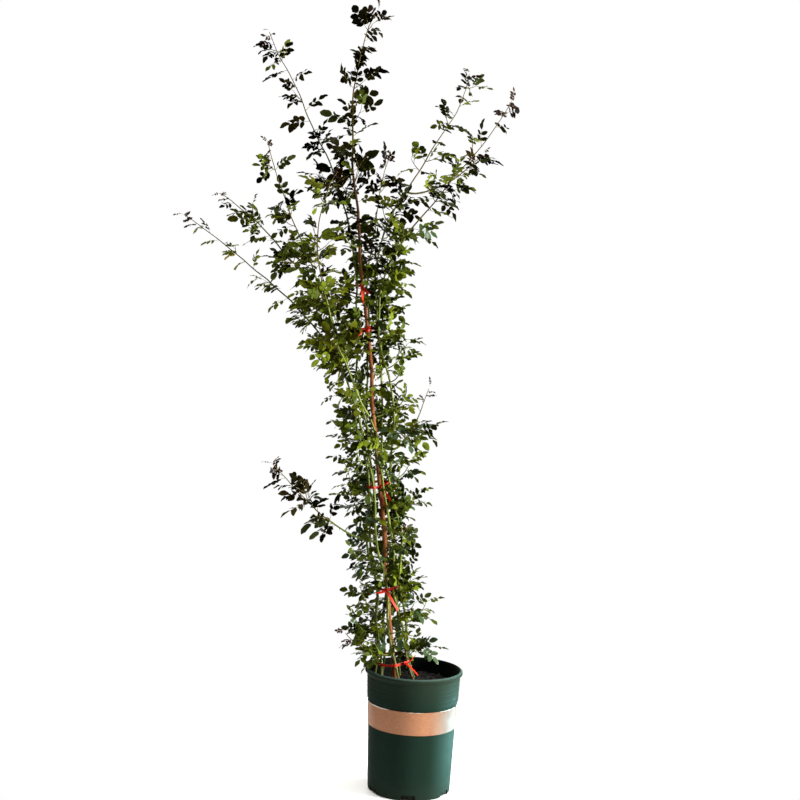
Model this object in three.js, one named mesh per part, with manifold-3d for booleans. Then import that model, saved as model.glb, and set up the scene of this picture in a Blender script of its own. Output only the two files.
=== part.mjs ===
// Potted climbing rose. A nursery pot of soil holds a clump of canes that ties gather into a leaning column.
// Above the ties the canes arch out into an open crown, and leafy twigs grow from them all the way up.
// Millimetres, +Z up. The origin is the centre of the pot's flat underside and the front faces -Y.

import * as THREE from "three";
import { mergeVertices } from "three/addons/utils/BufferGeometryUtils.js";
import Module from "manifold-3d";

const wasm = await Module();
wasm.setup();

// Driving dimensions

// Clear space between neighbouring pieces
const GAP = 0.3;

const POT = {
  height: 288,
  rimRadius: 115,
  rimHeight: 12,
  collarTopRadius: 109.5,
  collarFootRadius: 107,
  collarFootZ: 217,
  bodyTopRadius: 105,
  bodyTopZ: 214,
  baseRadius: 97,
  baseRound: 4,
  wall: 2.2,
  floor: 3,
  segments: 32,
  roundPoints: 2,
};
const NOTCH = { count: 6, width: 33, height: 13, depth: 9 };
const BAND = { bottom: 156, top: 210, thickness: 0.7 };
const SOIL = { top: 258, crownRadius: 84, edgeDrop: 6 };

// The tied column: its axis starts left of the pot's middle and leans, and the canes wind round it.
// Between one tie and the next they bow out by a share of the span
const COLUMN = {
  foot: new THREE.Vector3(-44, 0, SOIL.top + GAP),
  lean: new THREE.Vector3(-0.125, 0, 1),
  footRadius: 50,
  radius: 25,
  gatherHeight: 85,
  windPerHeight: -0.0019,
  windZeroZ: 1100,
  bow: 0.06,
};

const CANE = {
  footRadius: 3.5,
  tipRadius: 1.1,
  taper: 1.6,
  flare: 1.2,
  flareHeight: 14,
  leadShare: 0.35,
  sides: 6,
  steps: 16,
  crowding: 1.3,
};

// Canes in order round the column: the height where each leaves it, the point that its arch bends towards,
// the tip of its last leaf and the share of its length below its leafy end
const CANES = [
  { name: "back", leave: 1000, bend: [-165, 185, 1340], tip: [-119, 300, 1526], bare: 0.74 },
  { name: "right_high", leave: 1180, bend: [85, 90, 1570], tip: [63, 140, 1711], bare: 0.78 },
  { name: "right_low", leave: 1060, bend: [70, -60, 1425], tip: [163, -90, 1614], bare: 0.75 },
  { name: "front", leave: 704, bend: [-343, -330, 1179], tip: [-209, -190, 1437], bare: 0.78 },
  { name: "left_high", leave: 700, bend: [-378, -80, 1395], tip: [-382, -130, 1501], bare: 0.76 },
  { name: "left_far", leave: 870, bend: [-428, 20, 1217], tip: [-604, 30, 1336], bare: 0.74 },
  { name: "left_top", leave: 1200, bend: [-330, 70, 1590], tip: [-421, 110, 1787], bare: 0.76 },
];
const FIRST_CANE_ANGLE = 0.5 * Math.PI;
const CENTRE_CANE = {
  name: "centre",
  leave: 1250,
  bend: [-240, -20, 1650],
  tip: [-144, -40, 1819],
  bare: 0.78,
  footRadius: 5.4,
};

// Side shoots: the cane and the height that each starts from, its bend, its tip and its bare share
const SHOOT = { footRadius: 2.1, tipRadius: 1.1, leadShare: 0.3, sides: 5, steps: 6 };
const SHOOTS = [
  { name: "low_left", on: "left_far", z: 590, bend: [-235, -60, 640], tip: [-354, -70, 771], bare: 0.4 },
  { name: "low_twig", on: "left_far", z: 322, bend: [-140, -40, 340], tip: [-171, -50, 386], bare: 0.3 },
  { name: "right_small", on: "right_low", z: 800, bend: [-22, 10, 850], tip: [8, 40, 959], bare: 0.3 },
  { name: "left_mid", on: "left_high", z: 1205, bend: [-400, -60, 1345], tip: [-501, -60, 1376], bare: 0.3 },
  { name: "right_mid", on: "right_high", z: 1400, bend: [40, 60, 1430], tip: [111, 60, 1510], bare: 0.35 },
];

// Leafy twigs spread up the column, dealt to the canes in turn
const TWIG = {
  count: 25,
  lowest: 352,
  highest: 1250,
  reach: 46,
  cornerShare: 0.7,
  climb: 42,
  radius: 1.5,
  tipRadius: 0.9,
  caneStride: 3,
  turns: [0, 0.5, -0.5, 1, -1],
  margin: 4,
};

// A leaf: one end leaflet and pairs of side leaflets on a thin stalk, flat above and keeled below
const LEAF = {
  stalk: 34,
  stalkHalfWidth: 0.8,
  freeStalk: 0.4,
  pairPlaces: [0.52],
  pairBaseHalf: 1.6,
  pairAngle: 1.05,
  leafletLength: 46,
  widthShare: 0.62,
  keel: 0.9,
  rootKeel: 1.2,
  spread: 0.85,
  endSpread: 0.25,
  forward: 0.55,
  outward: 0.15,
  firstSize: 1.05,
  lastSize: 0.72,
  sizeRange: [0.92, 1.08],
  turnRange: [-0.3, 0.3],
  faceOutRange: [0.7, 1.8],
  tries: 6,
  tryTurn: 0.9,
};
const LEAF_COUNT = { cane: 8, shoot: 5, twig: 4, sprig: 2 };

// Side sprigs take the place of some leaves on the leafy ends of the canes
const SPRIG = { every: 3, length: 58, radius: 1.3, tipRadius: 0.8 };
const TIP_ALLOWANCE = 52;
const SPACE_MARGIN = 1.2;
const LIMB_MARGIN = 2;

const TIE = {
  heights: [304, 478, 716, 1077, 1180],
  width: 5,
  thickness: 0.9,
  clearance: 0.45,
  cornersPerCane: 8,
};

const FINISHES = {
  pot: { color: 0x2f4f45, roughness: 0.5 },
  band: { color: 0xd9a98b, roughness: 0.7 },
  soil: { color: 0x1c1611, roughness: 1 },
  cane: { color: 0x7c8f45, roughness: 0.6 },
  woodyCane: { color: 0x7a5236, roughness: 0.8 },
  leaves: { color: 0x425a2a, roughness: 0.6 },
  tie: { color: 0xc9341f, roughness: 0.5 },
};

// Small helpers
const UP = new THREE.Vector3(0, 0, 1);
const GOLDEN_ANGLE = Math.PI * (3 - Math.sqrt(5));
const MERGE_DISTANCE = 1e-4;

function point(values) {
  return new THREE.Vector3(...values);
}

function mix(a, b, share) {
  return a + (b - a) * share;
}

// Seeded random numbers from 0 to 1
function seeded(seed) {
  let state = seed >>> 0;
  return () => {
    state = (state + 0x6d2b79f5) >>> 0;
    let value = Math.imul(state ^ (state >>> 15), state | 1);
    value ^= value + Math.imul(value ^ (value >>> 7), value | 61);
    return ((value ^ (value >>> 14)) >>> 0) / 4294967296;
  };
}

function across(direction, axis) {
  return direction.clone().addScaledVector(axis, -direction.dot(axis)).normalize();
}

// Closed solids: joining, cutting and reading back
function solidOf(geometry) {
  const plain = geometry.index ? geometry.toNonIndexed() : geometry.clone();
  plain.deleteAttribute("normal");
  plain.deleteAttribute("uv");
  const merged = mergeVertices(plain, MERGE_DISTANCE);
  const triangles = [];
  for (let i = 0; i < merged.index.count; i += 3) {
    const [a, b, c] = [0, 1, 2].map((corner) => merged.index.getX(i + corner));
    if (a !== b && b !== c && c !== a) triangles.push(a, b, c);
  }
  const vertProperties = new Float32Array(merged.attributes.position.array);
  const triVerts = new Uint32Array(triangles);
  return new wasm.Manifold(new wasm.Mesh({ numProp: 3, vertProperties, triVerts }));
}

function geometryOf(solid) {
  const mesh = solid.getMesh();
  const geometry = new THREE.BufferGeometry();
  geometry.setAttribute("position", new THREE.BufferAttribute(new Float32Array(mesh.vertProperties), 3));
  geometry.setIndex(new THREE.BufferAttribute(new Uint32Array(mesh.triVerts), 1));
  geometry.computeVertexNormals();
  return geometry;
}

function largestBody(solid) {
  const bodies = solid.decompose();
  return bodies.reduce((best, body) => (body.volume() > best.volume() ? body : best));
}

function lathe(points) {
  return new THREE.LatheGeometry(points, POT.segments).rotateX(Math.PI / 2);
}

const group = new THREE.Group();

function addPiece(name, geometry, finish) {
  const material = new THREE.MeshStandardMaterial({ ...finish, metalness: 0 });
  const mesh = new THREE.Mesh(geometry, material);
  mesh.name = name;
  group.add(mesh);
}

// Pot: a tapered body, a stepped collar and a rolled rim, with drain notches round the foot
function bodyRadius(z) {
  return mix(POT.baseRadius, POT.bodyTopRadius, z / POT.bodyTopZ);
}

function collarRadius(z) {
  const rimFoot = POT.height - POT.rimHeight;
  return mix(POT.collarFootRadius, POT.collarTopRadius, (z - POT.collarFootZ) / (rimFoot - POT.collarFootZ));
}

function potGeometry() {
  const rimFoot = POT.height - POT.rimHeight;
  const rimMiddle = POT.height - POT.rimHeight / 2;
  const mouth = POT.collarTopRadius - POT.wall;
  const profile = new THREE.Path();
  profile.moveTo(0, 0);
  profile.lineTo(POT.baseRadius - POT.baseRound, 0);
  profile.quadraticCurveTo(POT.baseRadius, 0, bodyRadius(POT.baseRound), POT.baseRound);
  profile.lineTo(POT.bodyTopRadius, POT.bodyTopZ);
  profile.lineTo(POT.collarFootRadius, POT.collarFootZ);
  profile.lineTo(POT.collarTopRadius, rimFoot);
  profile.quadraticCurveTo(POT.rimRadius, rimFoot, POT.rimRadius, rimMiddle);
  profile.quadraticCurveTo(POT.rimRadius, POT.height, POT.rimRadius - POT.rimHeight / 3, POT.height);
  profile.lineTo(mouth, POT.height);
  profile.lineTo(mouth, rimFoot);
  profile.lineTo(POT.collarFootRadius - POT.wall, POT.collarFootZ);
  profile.lineTo(POT.bodyTopRadius - POT.wall, POT.bodyTopZ);
  profile.lineTo(bodyRadius(POT.floor) - POT.wall, POT.floor);
  profile.lineTo(0, POT.floor);
  let solid = solidOf(lathe(profile.getPoints(POT.roundPoints)));
  for (let i = 0; i < NOTCH.count; i += 1) {
    const cutter = new THREE.BoxGeometry(NOTCH.width, 2 * NOTCH.depth, 2 * NOTCH.height);
    cutter.translate(0, -POT.baseRadius, 0);
    cutter.rotateZ((2 * Math.PI * i) / NOTCH.count);
    solid = solid.subtract(solidOf(cutter));
  }
  return geometryOf(solid);
}

function bandGeometry() {
  const inner = (z) => bodyRadius(z) + GAP;
  const outline = [
    new THREE.Vector2(inner(BAND.bottom), BAND.bottom),
    new THREE.Vector2(inner(BAND.bottom) + BAND.thickness, BAND.bottom),
    new THREE.Vector2(inner(BAND.top) + BAND.thickness, BAND.top),
    new THREE.Vector2(inner(BAND.top), BAND.top),
    new THREE.Vector2(inner(BAND.bottom), BAND.bottom),
  ];
  return geometryOf(solidOf(lathe(outline)));
}

function soilGeometry() {
  const clear = POT.wall + GAP;
  const foot = POT.floor + GAP;
  const edge = SOIL.top - SOIL.edgeDrop;
  const outline = [
    new THREE.Vector2(0, foot),
    new THREE.Vector2(bodyRadius(foot) - clear, foot),
    new THREE.Vector2(POT.bodyTopRadius - clear, POT.bodyTopZ),
    new THREE.Vector2(POT.collarFootRadius - clear, POT.collarFootZ + GAP),
    new THREE.Vector2(collarRadius(edge) - clear, edge),
    new THREE.Vector2(SOIL.crownRadius, SOIL.top),
    new THREE.Vector2(0, SOIL.top),
  ];
  return geometryOf(solidOf(lathe(outline)));
}

// Cane paths: up the column, then along an arch to the tip
function columnAxis(z) {
  return COLUMN.foot.clone().addScaledVector(COLUMN.lean, z - COLUMN.foot.z);
}

function bowAt(z) {
  const next = TIE.heights.findIndex((height) => height > z);
  if (next < 1) return 0;
  const [low, high] = [TIE.heights[next - 1], TIE.heights[next]];
  return COLUMN.bow * (high - low) * Math.sin((Math.PI * (z - low)) / (high - low)) ** 2;
}

function columnPoint(cane, z) {
  const gathered = Math.exp(-(z - COLUMN.foot.z) / COLUMN.gatherHeight);
  const radius = cane.offAxis * (mix(COLUMN.radius, COLUMN.footRadius, gathered) + bowAt(z));
  const angle = cane.angle + COLUMN.windPerHeight * (z - COLUMN.windZeroZ);
  return columnAxis(z).add(new THREE.Vector3(radius * Math.cos(angle), radius * Math.sin(angle), 0));
}

class CanePath extends THREE.Curve {
  constructor(cane) {
    super();
    this.cane = cane;
    const start = columnPoint(cane, cane.leave);
    const tip = point(cane.tip);
    const heading = start.clone().sub(columnPoint(cane, cane.leave - 1));
    const lead = heading.setLength(CANE.leadShare * start.distanceTo(tip));
    this.arch = new THREE.CubicBezierCurve3(start, start.clone().add(lead), point(cane.bend), tip);
    const columnLength = cane.leave - COLUMN.foot.z;
    this.split = columnLength / (columnLength + this.arch.getLength());
  }

  getPoint(t, target = new THREE.Vector3()) {
    if (t > this.split) return target.copy(this.arch.getPoint((t - this.split) / (1 - this.split)));
    return target.copy(columnPoint(this.cane, mix(COLUMN.foot.z, this.cane.leave, t / this.split)));
  }
}

// A stretch of a longer curve, between two shares of its length
class Stretch extends THREE.Curve {
  constructor(curve, from, to) {
    super();
    this.curve = curve;
    this.from = from;
    this.to = to;
  }

  getPoint(t, target = new THREE.Vector3()) {
    return target.copy(this.curve.getPointAt(mix(this.from, this.to, t)));
  }
}

// Rings along a curve, set closer together near its foot where asked
function ringsAlong(curve, radiusAt, steps, crowding = 1) {
  const rings = [];
  for (let i = 0; i <= steps; i += 1) {
    const share = (i / steps) ** crowding;
    const centre = curve.getPointAt(share);
    const tangent = curve.getTangentAt(share);
    rings.push({ centre, tangent, radius: radiusAt(share) });
  }
  return rings;
}

// A tapering limb with capped ends, its first ring cut level where asked
function limbGeometry(rings, sides, levelFoot = false) {
  const corners = [];
  const faces = [];
  let normal = new THREE.Vector3(1, 0, 0);
  rings.forEach(({ centre, tangent, radius }, i) => {
    normal = across(normal, tangent);
    const binormal = new THREE.Vector3().crossVectors(tangent, normal);
    for (let side = 0; side < sides; side += 1) {
      const angle = (2 * Math.PI * side) / sides;
      const corner = centre.clone();
      corner.addScaledVector(normal, radius * Math.cos(angle));
      corner.addScaledVector(binormal, radius * Math.sin(angle));
      if (levelFoot && i === 0) corner.addScaledVector(tangent, (centre.z - corner.z) / tangent.z);
      corners.push(corner);
    }
  });
  const last = (rings.length - 1) * sides;
  for (let ring = 0; ring < last; ring += sides) {
    for (let side = 0; side < sides; side += 1) {
      const [a, b] = [ring + side, ring + ((side + 1) % sides)];
      faces.push(a, b, b + sides, a, b + sides, a + sides);
    }
  }
  for (let side = 1; side < sides - 1; side += 1) {
    faces.push(0, side + 1, side, last, last + side, last + side + 1);
  }
  const geometry = new THREE.BufferGeometry().setFromPoints(corners);
  geometry.setIndex(faces);
  return geometry;
}

// Every limb and every mass of leaves is planned first, so that each can keep clear of all the others
const limbs = [];
const masses = [];

// A long limb: its bare length, then the leafy end that carries on from it after a hairline gap
function addLeafyLimb(plan) {
  const length = plan.curve.getLength();
  const bareCurve = new Stretch(plan.curve, 0, plan.bare);
  const leafyCurve = new Stretch(plan.curve, plan.bare + GAP / length, 1 - TIP_ALLOWANCE / length);
  const bareRadius = (share) => plan.radiusAt(share * plan.bare);
  const leafyRadius = (share) => plan.radiusAt(mix(plan.bare, 1, share));
  limbs.push({ ...plan, rings: ringsAlong(bareCurve, bareRadius, plan.steps, plan.crowding) });
  masses.push({ name: `leaves_${plan.name}`, rings: ringsAlong(leafyCurve, leafyRadius, plan.leafCount) });
}

function planCanes() {
  const ring = CANES.map((cane, i) => ({
    ...cane,
    angle: FIRST_CANE_ANGLE - (2 * Math.PI * i) / CANES.length,
    offAxis: 1,
    footRadius: CANE.footRadius,
    finish: FINISHES.cane,
  }));
  const centre = { ...CENTRE_CANE, angle: 0, offAxis: 0, finish: FINISHES.woodyCane };
  return [...ring, centre].map((cane) => {
    const curve = new CanePath(cane);
    const length = curve.getLength();
    const radiusAt = (share) => {
      const flare = CANE.flare * Math.exp((-share * length) / CANE.flareHeight);
      return mix(cane.footRadius, CANE.tipRadius, share ** CANE.taper) + flare;
    };
    return { ...cane, curve, radiusAt };
  });
}

for (const cane of planCanes()) {
  const shape = { sides: CANE.sides, steps: CANE.steps, crowding: CANE.crowding, levelFoot: true };
  addLeafyLimb({ ...cane, ...shape, name: `cane_${cane.name}`, leafCount: LEAF_COUNT.cane });
}

// The middle, heading and thickness of a limb at a height
function ringAtHeight(rings, z) {
  const above = rings.findIndex((ring) => ring.centre.z >= z);
  const [low, high] = [rings[above - 1], rings[above]];
  const share = (z - low.centre.z) / (high.centre.z - low.centre.z);
  const centre = low.centre.clone().lerp(high.centre, share);
  const tangent = high.centre.clone().sub(low.centre).normalize();
  return { centre, tangent, radius: low.radius };
}

// The place on a cane's skin, hairline clear, that faces a direction
function budOn(cane, z, direction) {
  const { centre, tangent, radius } = ringAtHeight(cane.rings, z);
  const out = across(direction, tangent);
  return { place: centre.addScaledVector(out, radius + GAP), out };
}

const caneLimbs = [...limbs];
for (const shoot of SHOOTS) {
  const cane = caneLimbs.find((limb) => limb.name === `cane_${shoot.on}`);
  const bend = point(shoot.bend);
  const towards = bend.clone().sub(ringAtHeight(cane.rings, shoot.z).centre);
  const { place, out } = budOn(cane, shoot.z, towards);
  const lead = place.clone().addScaledVector(out, SHOOT.leadShare * place.distanceTo(bend));
  const curve = new THREE.CubicBezierCurve3(place, lead, bend, point(shoot.tip));
  const radiusAt = (along) => mix(SHOOT.footRadius, SHOOT.tipRadius, along);
  const shape = { sides: SHOOT.sides, steps: SHOOT.steps, crowding: 1, finish: FINISHES.cane };
  const leafy = { bare: shoot.bare, leafCount: LEAF_COUNT.shoot };
  addLeafyLimb({ ...shape, ...leafy, name: `shoot_${shoot.name}`, curve, radiusAt });
}

// How far a place lies from the middle of a limb or stem, and how thick that is there
function nearest(place, rings) {
  const line = new THREE.Line3();
  const foot = new THREE.Vector3();
  let best = { distance: Infinity, radius: 0 };
  for (let i = 0; i + 1 < rings.length; i += 1) {
    line.set(rings[i].centre, rings[i + 1].centre).closestPointToPoint(place, true, foot);
    const distance = foot.distanceTo(place);
    if (distance < best.distance) best = { distance, radius: rings[i].radius };
  }
  return best;
}

function clearOfLimbs(place, margin) {
  return limbs.every((limb) => {
    const { distance, radius } = nearest(place, limb.rings);
    return distance > radius + margin;
  });
}

function clearOfTies(place) {
  const fromAxis = place.distanceTo(columnAxis(place.z));
  const tieReach = 2 * COLUMN.radius;
  return TIE.heights.every((z) => Math.abs(place.z - z) > TIE.width || fromAxis > tieReach);
}

// Twigs up the column: each leaves its cane squarely, then turns upwards
function twigCurve(cane, z, turn) {
  const outwards = ringAtHeight(cane.rings, z).centre.sub(columnAxis(z)).setZ(0).normalize();
  const { place, out } = budOn(cane, z, outwards.applyAxisAngle(UP, turn));
  const corner = place.clone().addScaledVector(out, TWIG.reach * TWIG.cornerShare);
  const end = place.clone().addScaledVector(out, TWIG.reach).addScaledVector(UP, TWIG.climb);
  return new THREE.QuadraticBezierCurve3(place, corner, end);
}

function twigIsClear(rings) {
  return rings.slice(1).every(({ centre }) => clearOfLimbs(centre, TWIG.margin) && clearOfTies(centre));
}

const twigRadius = (share) => mix(TWIG.radius, TWIG.tipRadius, share);
for (let i = 0; i < TWIG.count; i += 1) {
  const z = mix(TWIG.lowest, TWIG.highest, i / (TWIG.count - 1));
  const ringCanes = caneLimbs.filter((cane) => cane.offAxis > 0);
  const bareHere = ringCanes.filter((cane) => cane.rings.at(-1).centre.z > z + TWIG.climb);
  const cane = bareHere[(i * TWIG.caneStride) % bareHere.length];
  const ways = TWIG.turns.map((turn) => ringsAlong(twigCurve(cane, z, turn), twigRadius, LEAF_COUNT.twig));
  const rings = ways.find(twigIsClear);
  if (rings) masses.push({ name: `leaves_column_${String(i + 1).padStart(2, "0")}`, rings });
}

// The leaf's outline and keel, walked once round: each step along the edge or the keel closes one lower face
function leafBlade() {
  const outline = [];
  const keel = [];
  const lowerFaces = [];
  const at = { edge: 0, keel: 0 };
  const stepEdge = (x, y) => {
    outline.push(new THREE.Vector2(x, y));
    const edge = outline.length - 1;
    if (edge > 0) lowerFaces.push([["edge", edge], ["edge", at.edge], ["keel", at.keel]]);
    at.edge = edge;
  };
  const newKeel = (x, y, depth) => keel.push(new THREE.Vector3(x, y, -depth)) - 1;
  const stepKeel = (index) => {
    lowerFaces.push([["edge", at.edge], ["keel", at.keel], ["keel", index]]);
    at.keel = index;
  };
  const stepLeaflet = (x, angle) => {
    const heading = new THREE.Vector2(Math.cos(angle), Math.sin(angle));
    const half = (LEAF.leafletLength * LEAF.widthShare) / 2;
    const middle = heading.clone().multiplyScalar(LEAF.leafletLength / 2);
    stepKeel(newKeel(x + middle.x, middle.y, LEAF.keel));
    stepEdge(x + middle.x + half * heading.y, middle.y - half * heading.x);
    stepEdge(x + 2 * middle.x, 2 * middle.y);
    stepEdge(x + middle.x - half * heading.y, middle.y + half * heading.x);
  };
  const root = newKeel(0, 0, LEAF.rootKeel);
  const places = LEAF.pairPlaces.map((share) => share * LEAF.stalk);
  const hubs = places.map((x) => newKeel(x, 0, LEAF.keel));
  stepEdge(0, -LEAF.stalkHalfWidth);
  for (let i = 0; i < places.length; i += 1) {
    stepKeel(hubs[i]);
    stepEdge(places[i] - LEAF.pairBaseHalf, -LEAF.stalkHalfWidth);
    stepLeaflet(places[i], -LEAF.pairAngle);
    stepEdge(places[i] + LEAF.pairBaseHalf, -LEAF.stalkHalfWidth);
    stepKeel(hubs[i]);
  }
  stepLeaflet(LEAF.stalk, 0);
  for (let i = places.length - 1; i >= 0; i -= 1) {
    stepEdge(places[i] + LEAF.pairBaseHalf, LEAF.stalkHalfWidth);
    stepKeel(hubs[i]);
    stepLeaflet(places[i], LEAF.pairAngle);
    stepEdge(places[i] - LEAF.pairBaseHalf, LEAF.stalkHalfWidth);
    stepKeel(hubs[i]);
  }
  stepEdge(0, LEAF.stalkHalfWidth);
  stepKeel(root);
  lowerFaces.push([["edge", 0], ["edge", at.edge], ["keel", root]]);
  const index = ([kind, number]) => (kind === "edge" ? number : outline.length + number);
  const upperFaces = THREE.ShapeUtils.triangulateShape(outline, []);
  const faces = [...upperFaces, ...lowerFaces.map((face) => face.map(index))];
  const corners = [...outline.map(({ x, y }) => new THREE.Vector3(x, y, 0)), ...keel];
  const geometry = new THREE.BufferGeometry().setFromPoints(corners);
  geometry.setIndex(faces.flat());
  return geometry;
}

const BLADE = leafBlade();

// A leaf in its place, with the corners and face middles that have to stay in the mass's own space
function placeLeaf(root, direction, normal, size) {
  const side = new THREE.Vector3().crossVectors(normal, direction);
  const matrix = new THREE.Matrix4().makeBasis(direction, side, normal).setPosition(root);
  const geometry = BLADE.clone().scale(size, size, size).applyMatrix4(matrix);
  const { index, attributes } = geometry;
  const probes = [];
  for (let i = 0; i < index.count; i += 3) {
    const [a, b, c] = [0, 1, 2].map((corner) => {
      return new THREE.Vector3().fromBufferAttribute(attributes.position, index.getX(i + corner));
    });
    probes.push(a, new THREE.Triangle(a, b, c).getMidpoint(new THREE.Vector3()));
  }
  const freeOfStem = LEAF.freeStalk * LEAF.stalk * size;
  return { geometry, probes: probes.filter((probe) => probe.distanceTo(root) > freeOfStem) };
}

function fits(probes, mass) {
  return probes.every((probe) => {
    if (probe.z < POT.height + SPACE_MARGIN || !clearOfTies(probe)) return false;
    const own = nearest(probe, mass.rings).distance;
    const inOwnSpace = masses.every((other) => {
      return other === mass || nearest(probe, other.rings).distance > own + SPACE_MARGIN;
    });
    return inOwnSpace && clearOfLimbs(probe, LIMB_MARGIN);
  });
}

function sprigRings(root, direction) {
  const end = root.clone().addScaledVector(direction, SPRIG.length);
  const radiusAt = (share) => mix(SPRIG.radius, SPRIG.tipRadius, share);
  return ringsAlong(new THREE.LineCurve3(root.clone(), end), radiusAt, LEAF_COUNT.sprig);
}

// Leaves wind round a stem, one at each ring, and a sprig with leaves of its own takes the place of some.
// One that finds no clear place after a few turns is left off.
function growOn(rings, mass, random, sprigEvery) {
  const grown = [];
  const count = rings.length - 1;
  let normal = new THREE.Vector3(1, 0, 0);
  for (let i = 1; i <= count; i += 1) {
    const { centre, tangent } = rings[i];
    normal = across(normal, tangent);
    const binormal = new THREE.Vector3().crossVectors(tangent, normal);
    const outwards = centre.clone().sub(columnAxis(centre.z)).setZ(0).normalize();
    const size = mix(LEAF.firstSize, LEAF.lastSize, i / count) * mix(...LEAF.sizeRange, random());
    const spread = i === count ? LEAF.endSpread : LEAF.spread;
    const firstTurn = i * GOLDEN_ANGLE + mix(...LEAF.turnRange, random());
    const facing = UP.clone().addScaledVector(outwards, mix(...LEAF.faceOutRange, random()));
    const isSprig = i < count && i % sprigEvery === 0;
    for (let attempt = 0; attempt < LEAF.tries; attempt += 1) {
      const turn = firstTurn + attempt * LEAF.tryTurn;
      const direction = tangent.clone().multiplyScalar(LEAF.forward);
      direction.addScaledVector(normal, spread * Math.cos(turn));
      direction.addScaledVector(binormal, spread * Math.sin(turn));
      direction.addScaledVector(outwards, LEAF.outward).normalize();
      if (isSprig) {
        const sprig = sprigRings(centre, direction);
        if (!fits(sprig.map((ring) => ring.centre).slice(1), mass)) continue;
        grown.push(limbGeometry(sprig, 3), ...growOn(sprig, mass, random, Infinity));
      } else {
        const leaf = placeLeaf(centre, direction, across(facing, direction), size);
        if (!fits(leaf.probes, mass)) continue;
        grown.push(leaf.geometry);
      }
      break;
    }
  }
  return grown;
}

function massGeometry(mass, seed) {
  const stem = limbGeometry(mass.rings, 3);
  const sprigEvery = mass.name.startsWith("leaves_cane") ? SPRIG.every : Infinity;
  const grown = growOn(mass.rings, mass, seeded(seed), sprigEvery);
  return geometryOf(largestBody(wasm.Manifold.union([stem, ...grown].map(solidOf))));
}

// Ties: a flat ribbon pulled round the outside of the canes
function hullOf(points) {
  const sorted = [...points].sort((a, b) => a.x - b.x || a.y - b.y);
  const turn = (a, b, c) => (b.x - a.x) * (c.y - a.y) - (b.y - a.y) * (c.x - a.x);
  const half = (ordered) => {
    const chain = [];
    for (const next of ordered) {
      while (chain.length > 1 && turn(chain.at(-2), chain.at(-1), next) <= 0) chain.pop();
      chain.push(next);
    }
    return chain.slice(0, -1);
  };
  return [...half(sorted), ...half(sorted.reverse())];
}

function ribbonOutline(z, clearance) {
  const points = [];
  for (const cane of caneLimbs.filter((limb) => limb.leave > z)) {
    for (const level of [z, z + TIE.width]) {
      const { centre, radius } = ringAtHeight(cane.rings, level);
      centre.addScaledVector(COLUMN.lean, z - level);
      for (let i = 0; i < TIE.cornersPerCane; i += 1) {
        const angle = (2 * Math.PI * i) / TIE.cornersPerCane;
        const offset = new THREE.Vector2(Math.cos(angle), Math.sin(angle)).multiplyScalar(radius + clearance);
        points.push(offset.add(centre));
      }
    }
  }
  return hullOf(points);
}

function tieGeometry(z) {
  const ribbon = new THREE.Shape(ribbonOutline(z, TIE.clearance + TIE.thickness));
  ribbon.holes.push(new THREE.Path(ribbonOutline(z, TIE.clearance)));
  const geometry = new THREE.ExtrudeGeometry(ribbon, { depth: TIE.width, bevelEnabled: false });
  const leanWithColumn = new THREE.Matrix4().makeShear(0, 0, 0, 0, COLUMN.lean.x, COLUMN.lean.y);
  geometry.applyMatrix4(leanWithColumn).translate(0, 0, z);
  return geometryOf(solidOf(geometry));
}

// The assembly
addPiece("pot", potGeometry(), FINISHES.pot);
addPiece("pot_band", bandGeometry(), FINISHES.band);
addPiece("soil", soilGeometry(), FINISHES.soil);
for (const limb of limbs) {
  const geometry = limbGeometry(limb.rings, limb.sides, limb.levelFoot);
  addPiece(limb.name, geometryOf(solidOf(geometry)), limb.finish);
}
TIE.heights.forEach((z, i) => addPiece(`tie_${i + 1}`, tieGeometry(z), FINISHES.tie));
masses.forEach((mass, i) => addPiece(mass.name, massGeometry(mass, i + 1), FINISHES.leaves));

export default group;
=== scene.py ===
"""Potted climbing rose, the looks.

Limbs, twigs and leaves grow by the solids' rule, carried on to finer twigs. Growth is worked out in
millimetres, as in the part's source, and pieces are made in metres in the part's frame.
"""

import math
import random
from types import SimpleNamespace as Sizes

import bpy
import numpy as np
from mathutils import Matrix, Vector, noise


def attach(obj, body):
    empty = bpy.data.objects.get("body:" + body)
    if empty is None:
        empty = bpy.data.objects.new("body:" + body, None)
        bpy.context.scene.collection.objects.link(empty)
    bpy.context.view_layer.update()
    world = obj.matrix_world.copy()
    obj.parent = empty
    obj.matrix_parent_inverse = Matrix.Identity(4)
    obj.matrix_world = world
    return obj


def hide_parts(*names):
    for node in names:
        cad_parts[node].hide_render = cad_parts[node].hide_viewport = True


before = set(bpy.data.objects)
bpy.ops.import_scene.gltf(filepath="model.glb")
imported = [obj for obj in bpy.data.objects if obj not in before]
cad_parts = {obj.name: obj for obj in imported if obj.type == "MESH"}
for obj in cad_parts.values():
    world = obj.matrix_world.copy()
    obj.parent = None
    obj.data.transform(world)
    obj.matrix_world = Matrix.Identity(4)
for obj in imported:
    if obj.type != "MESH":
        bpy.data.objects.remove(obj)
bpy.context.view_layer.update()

NOISE_SEED = 2
noise.seed_set(NOISE_SEED)

MM = 0.001
UP = np.array([0.0, 0.0, 1.0])
GOLDEN_ANGLE = math.pi * (3 - math.sqrt(5))

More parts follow.
